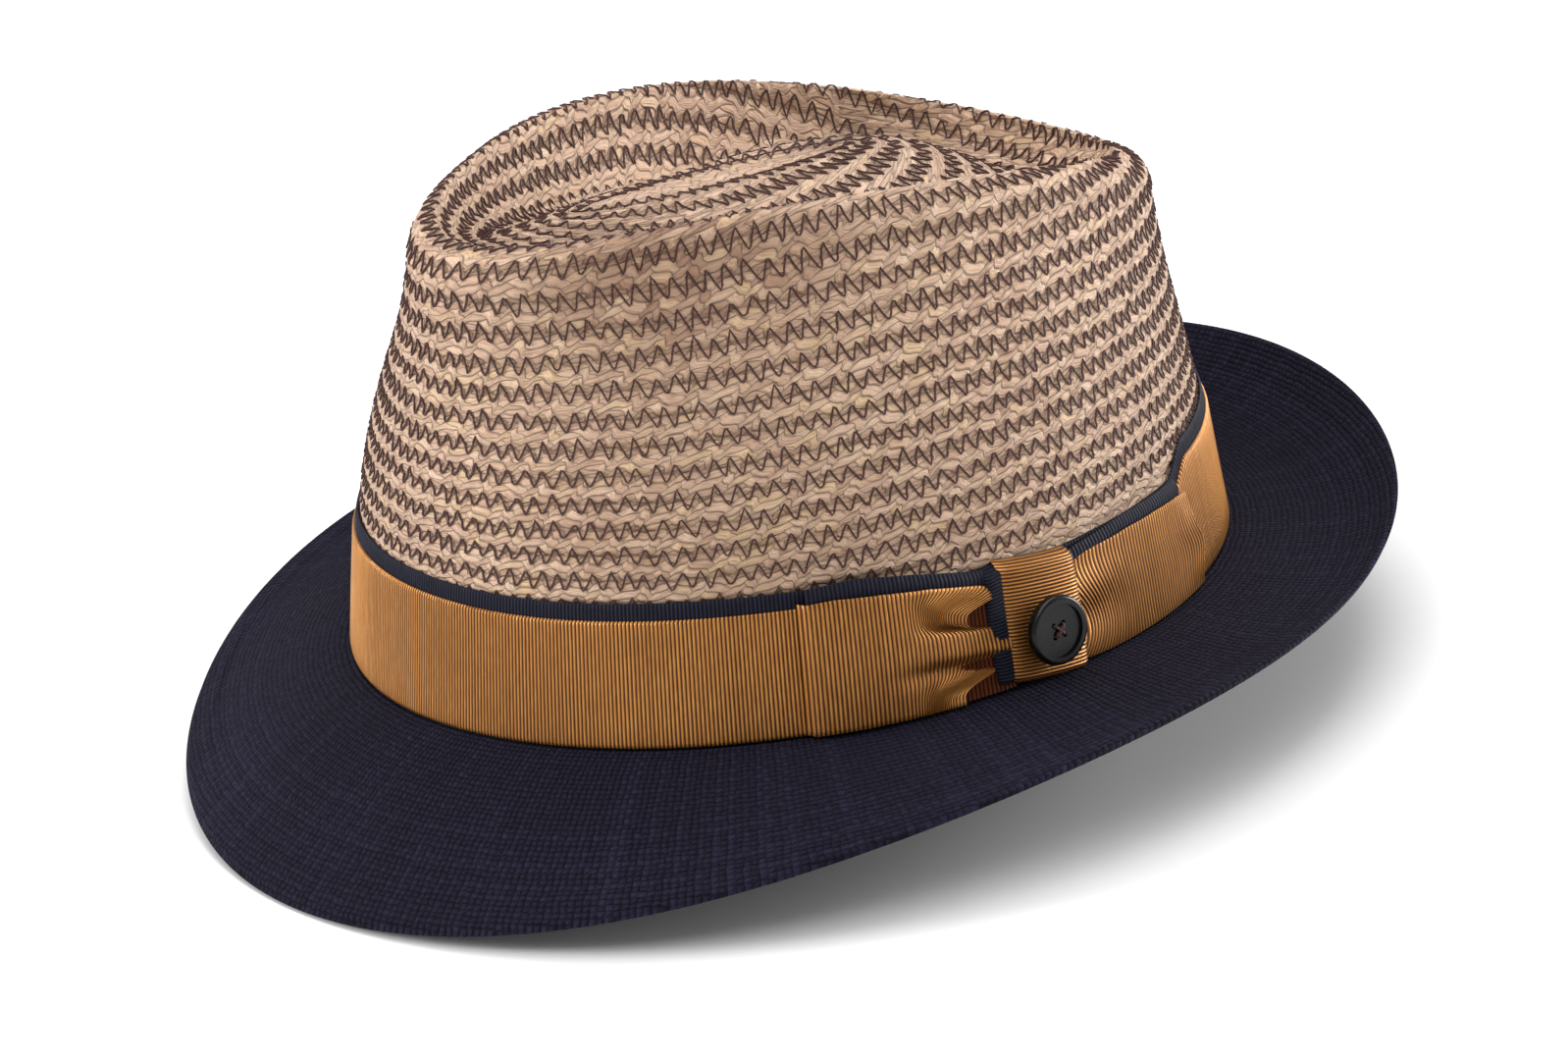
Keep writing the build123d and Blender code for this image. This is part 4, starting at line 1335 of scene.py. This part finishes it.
@dataclass
class ButtonSeat:
    """The button on the knot: its CAD disc and shank, and the crossed thread through its holes."""

    form: CrownForm
    middle: float = math.radians(-4.2)
    level: float = 11.4
    face: float = 4.75
    shank: float = 1.6
    depth: float = 1.9
    hole: float = 1.3
    thread: float = 0.32
    arch: float = 0.55
    sink: float = 0.7
    over: float = 0.12

    def axes(self) -> tuple[Array, Array, Array, Array]:
        """Middle of the seat, and the outward, upward and sideways directions there."""
        here = self.form.cone(np.array(self.middle), np.array(self.level), self.face)
        half_x = self.form.base_x - self.form.lean_x * self.level + self.face
        half_y = self.form.base_y - self.form.lean_y * self.level + self.face
        flat = unit(np.array([here[0] / half_x**2, here[1] / half_y**2, 0.0]))
        out = unit(flat + np.array([0.0, 0.0, self.form.lean_x]))
        up = unit(np.array([0.0, 0.0, 1.0]) - out * out[2])
        return here, out, up, np.cross(up, out)

    def build(self, polish: Material, thread: Material) -> None:
        """Polishes the CAD disc and lays two crossed threads between opposite holes."""
        for node, finish in (("button", polish), ("button_shank", thread)):
            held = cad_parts[node].data.materials
            held.clear()
            held.append(finish)
        here, out, up, side = self.axes()
        gone = np.linspace(-1.0, 1.0, 17)
        size = self.thread * np.sqrt(np.clip((1 - gone**2) / 0.1, 0, 1))
        angle = np.linspace(0.0, TURN, 13)
        for name, sign in (("button_thread_a", 1.0), ("button_thread_b", -1.0)):
            across = (up + side * sign) * self.hole
            arch = self.arch * (1 - gone**6) + self.over * (sign > 0) - self.sink * np.abs(gone) ** 6
            points = here + gone[:, None] * across + out * (self.shank + self.depth + arch)[:, None]
            piece = tube(name, points, out, size, gone * 3.0, angle)
            settle(piece, thread, Body.BUTTON)


def toward(azimuth: float, elevation: float) -> Vector:
    """Unit vector from the hat to a direction round it and above the floor, both in degrees."""
    a, e = math.radians(azimuth), math.radians(elevation)
    return Vector((math.sin(a) * math.cos(e), -math.cos(a) * math.cos(e), math.sin(e)))


@dataclass
class Studio:
    """A pale floor and backdrop, soft lights and the camera.

    A light is its name, its azimuth and elevation in degrees, its side in metres and its watts.
    """

    camera: tuple[float, float, float] = (0.92462, -0.77772, 0.48492)
    azimuth: float = 50.0
    elevation: float = 21.48
    roll: float = -5.07
    lens: float = 136.92
    sensor: float = 36.0
    pale: Colour = (0.86, 0.86, 0.86, 1.0)
    dull: Colour = (0.82, 0.82, 0.82, 1.0)
    reach: float = 6.0
    gap: float = 0.0004
    glow: float = 0.40
    away: float = 1.5
    lights: tuple[tuple[str, float, float, float, float], ...] = (
        ("key", -34.0, 20.0, 0.5, 17.0),
        ("front", 50.0, 64.0, 1.1, 10.0),
        ("side", 158.0, 9.0, 0.7, 24.0),
        ("top", 210.0, 75.0, 1.2, 13.0),
    )

    def light(self, name: str, azimuth: float, elevation: float, size: float, power: float) -> None:
        """A square soft light turned to the hat's middle."""
        lamp = bpy.data.lights.new(name, "AREA")
        lamp.shape, lamp.size, lamp.energy = "SQUARE", size, power
        held = bpy.data.objects.new(name, lamp)
        back = toward(azimuth, elevation)
        held.location = back * self.away
        held.rotation_mode = "QUATERNION"
        held.rotation_quaternion = back.to_track_quat("Z", "Y")
        bpy.context.collection.objects.link(held)

    def view(self) -> None:
        """Sets the camera's axes from its azimuth, elevation and roll."""
        a, roll = math.radians(self.azimuth), math.radians(self.roll)
        back = toward(self.azimuth, self.elevation)
        level = Vector((math.cos(a), math.sin(a), 0.0))
        upright = back.cross(level)
        right = level * math.cos(roll) + upright * math.sin(roll)
        up = upright * math.cos(roll) - level * math.sin(roll)
        made = bpy.data.cameras.new("view")
        made.sensor_width, made.lens, made.sensor_fit = self.sensor, self.lens, "HORIZONTAL"
        made.clip_start, made.clip_end = 0.05, 50.0
        held = bpy.data.objects.new("view", made)
        axes = Matrix((right, up, back)).transposed().to_4x4()
        held.matrix_world = Matrix.Translation(Vector(self.camera)) @ axes
        bpy.context.collection.objects.link(held)
        bpy.context.scene.camera = held

    def build(self) -> None:
        """Floor at the hat's lowest point, world glow, lights and camera."""
        w = Wiring("pale_floor")
        tone = w.noise(w.place(), 3.0, 2.0)
        paint = w.dress(w.blend(w.span(tone, 0.3, 0.7, 0.0, 0.3), self.pale, self.dull), 0.9)
        low = CAD_BOX[0][2] - self.gap
        corners = ((-1, -1), (1, -1), (1, 1), (-1, 1))
        mesh = bpy.data.meshes.new("floor")
        mesh.from_pydata([(x * self.reach, y * self.reach, low) for x, y in corners], [], [(0, 1, 2, 3)])
        mesh.materials.append(paint)
        floor = bpy.data.objects.new("floor", mesh)
        bpy.context.collection.objects.link(floor)
        world = bpy.data.worlds.new("glow")
        world.use_nodes = True
        background = world.node_tree.nodes["Background"]
        background.inputs[0].default_value = (1.0, 1.0, 1.0, 1.0)
        background.inputs[1].default_value = self.glow
        bpy.context.scene.world = world
        bpy.context.scene.view_settings.view_transform = "Standard"
        for lamp in self.lights:
            self.light(*lamp)
        self.view()


def solid(red: float, green: float, blue: float) -> Colour:
    """An opaque colour of three linear shares."""
    return red, green, blue, 1.0


def main() -> None:
    """Builds the finishes, then the hat from the straw outwards, then the studio."""
    logging.basicConfig(level=logging.INFO, format="%(message)s")
    lay = PlaitLay()
    straw = StrawFinish(lay).make()
    thread = ThreadFinish().make()
    cloth = WeaveFinish(
        "brim_weave", solid(0.0015, 0.0013, 0.0035), solid(0.010, 0.0085, 0.022), solid(0.030, 0.027, 0.06),
        pitch=1.3, depth=0.00055,
    ).make()
    gold = GrosgrainFinish(
        "gold_grosgrain", solid(0.055, 0.013, 0.003), solid(0.47, 0.178, 0.034), solid(0.84, 0.45, 0.12)
    ).make()
    # The gold ribbon darkened all over: painted shade for the inside of the loop.
    turned = GrosgrainFinish(
        "gold_inside_painted_shade", solid(0.018, 0.003, 0.001), solid(0.095, 0.020, 0.006), solid(0.17, 0.05, 0.012),
        rough=0.6, silk=0.0, shine=0.08,
    ).make()
    navy = GrosgrainFinish(
        "navy_grosgrain", solid(0.002, 0.002, 0.005), solid(0.012, 0.012, 0.024), solid(0.03, 0.03, 0.055),
        rough=0.6, silk=0.0, shine=0.12,
    ).make()
    cotton = WeaveFinish(
        "sweat_weave", solid(0.01, 0.01, 0.018), solid(0.03, 0.03, 0.05), solid(0.08, 0.08, 0.11),
        pitch=0.6, depth=0.0001,
    ).make()
    form = CrownForm()
    rows = PlaitRows(form)
    Crown(rows, lay).build(straw)
    Stitching(rows).build(thread)
    Brim(form).build(cloth)
    Ribbons(form).build(gold, turned, navy)
    Sweatband(form).build(cotton, navy)
    ButtonSeat(form).build(PolishedFinish().make(), thread)
    Studio().build()
    bpy.context.view_layer.update()
    LOG.info("sizes written")


if __name__ == "__main__":
    main()
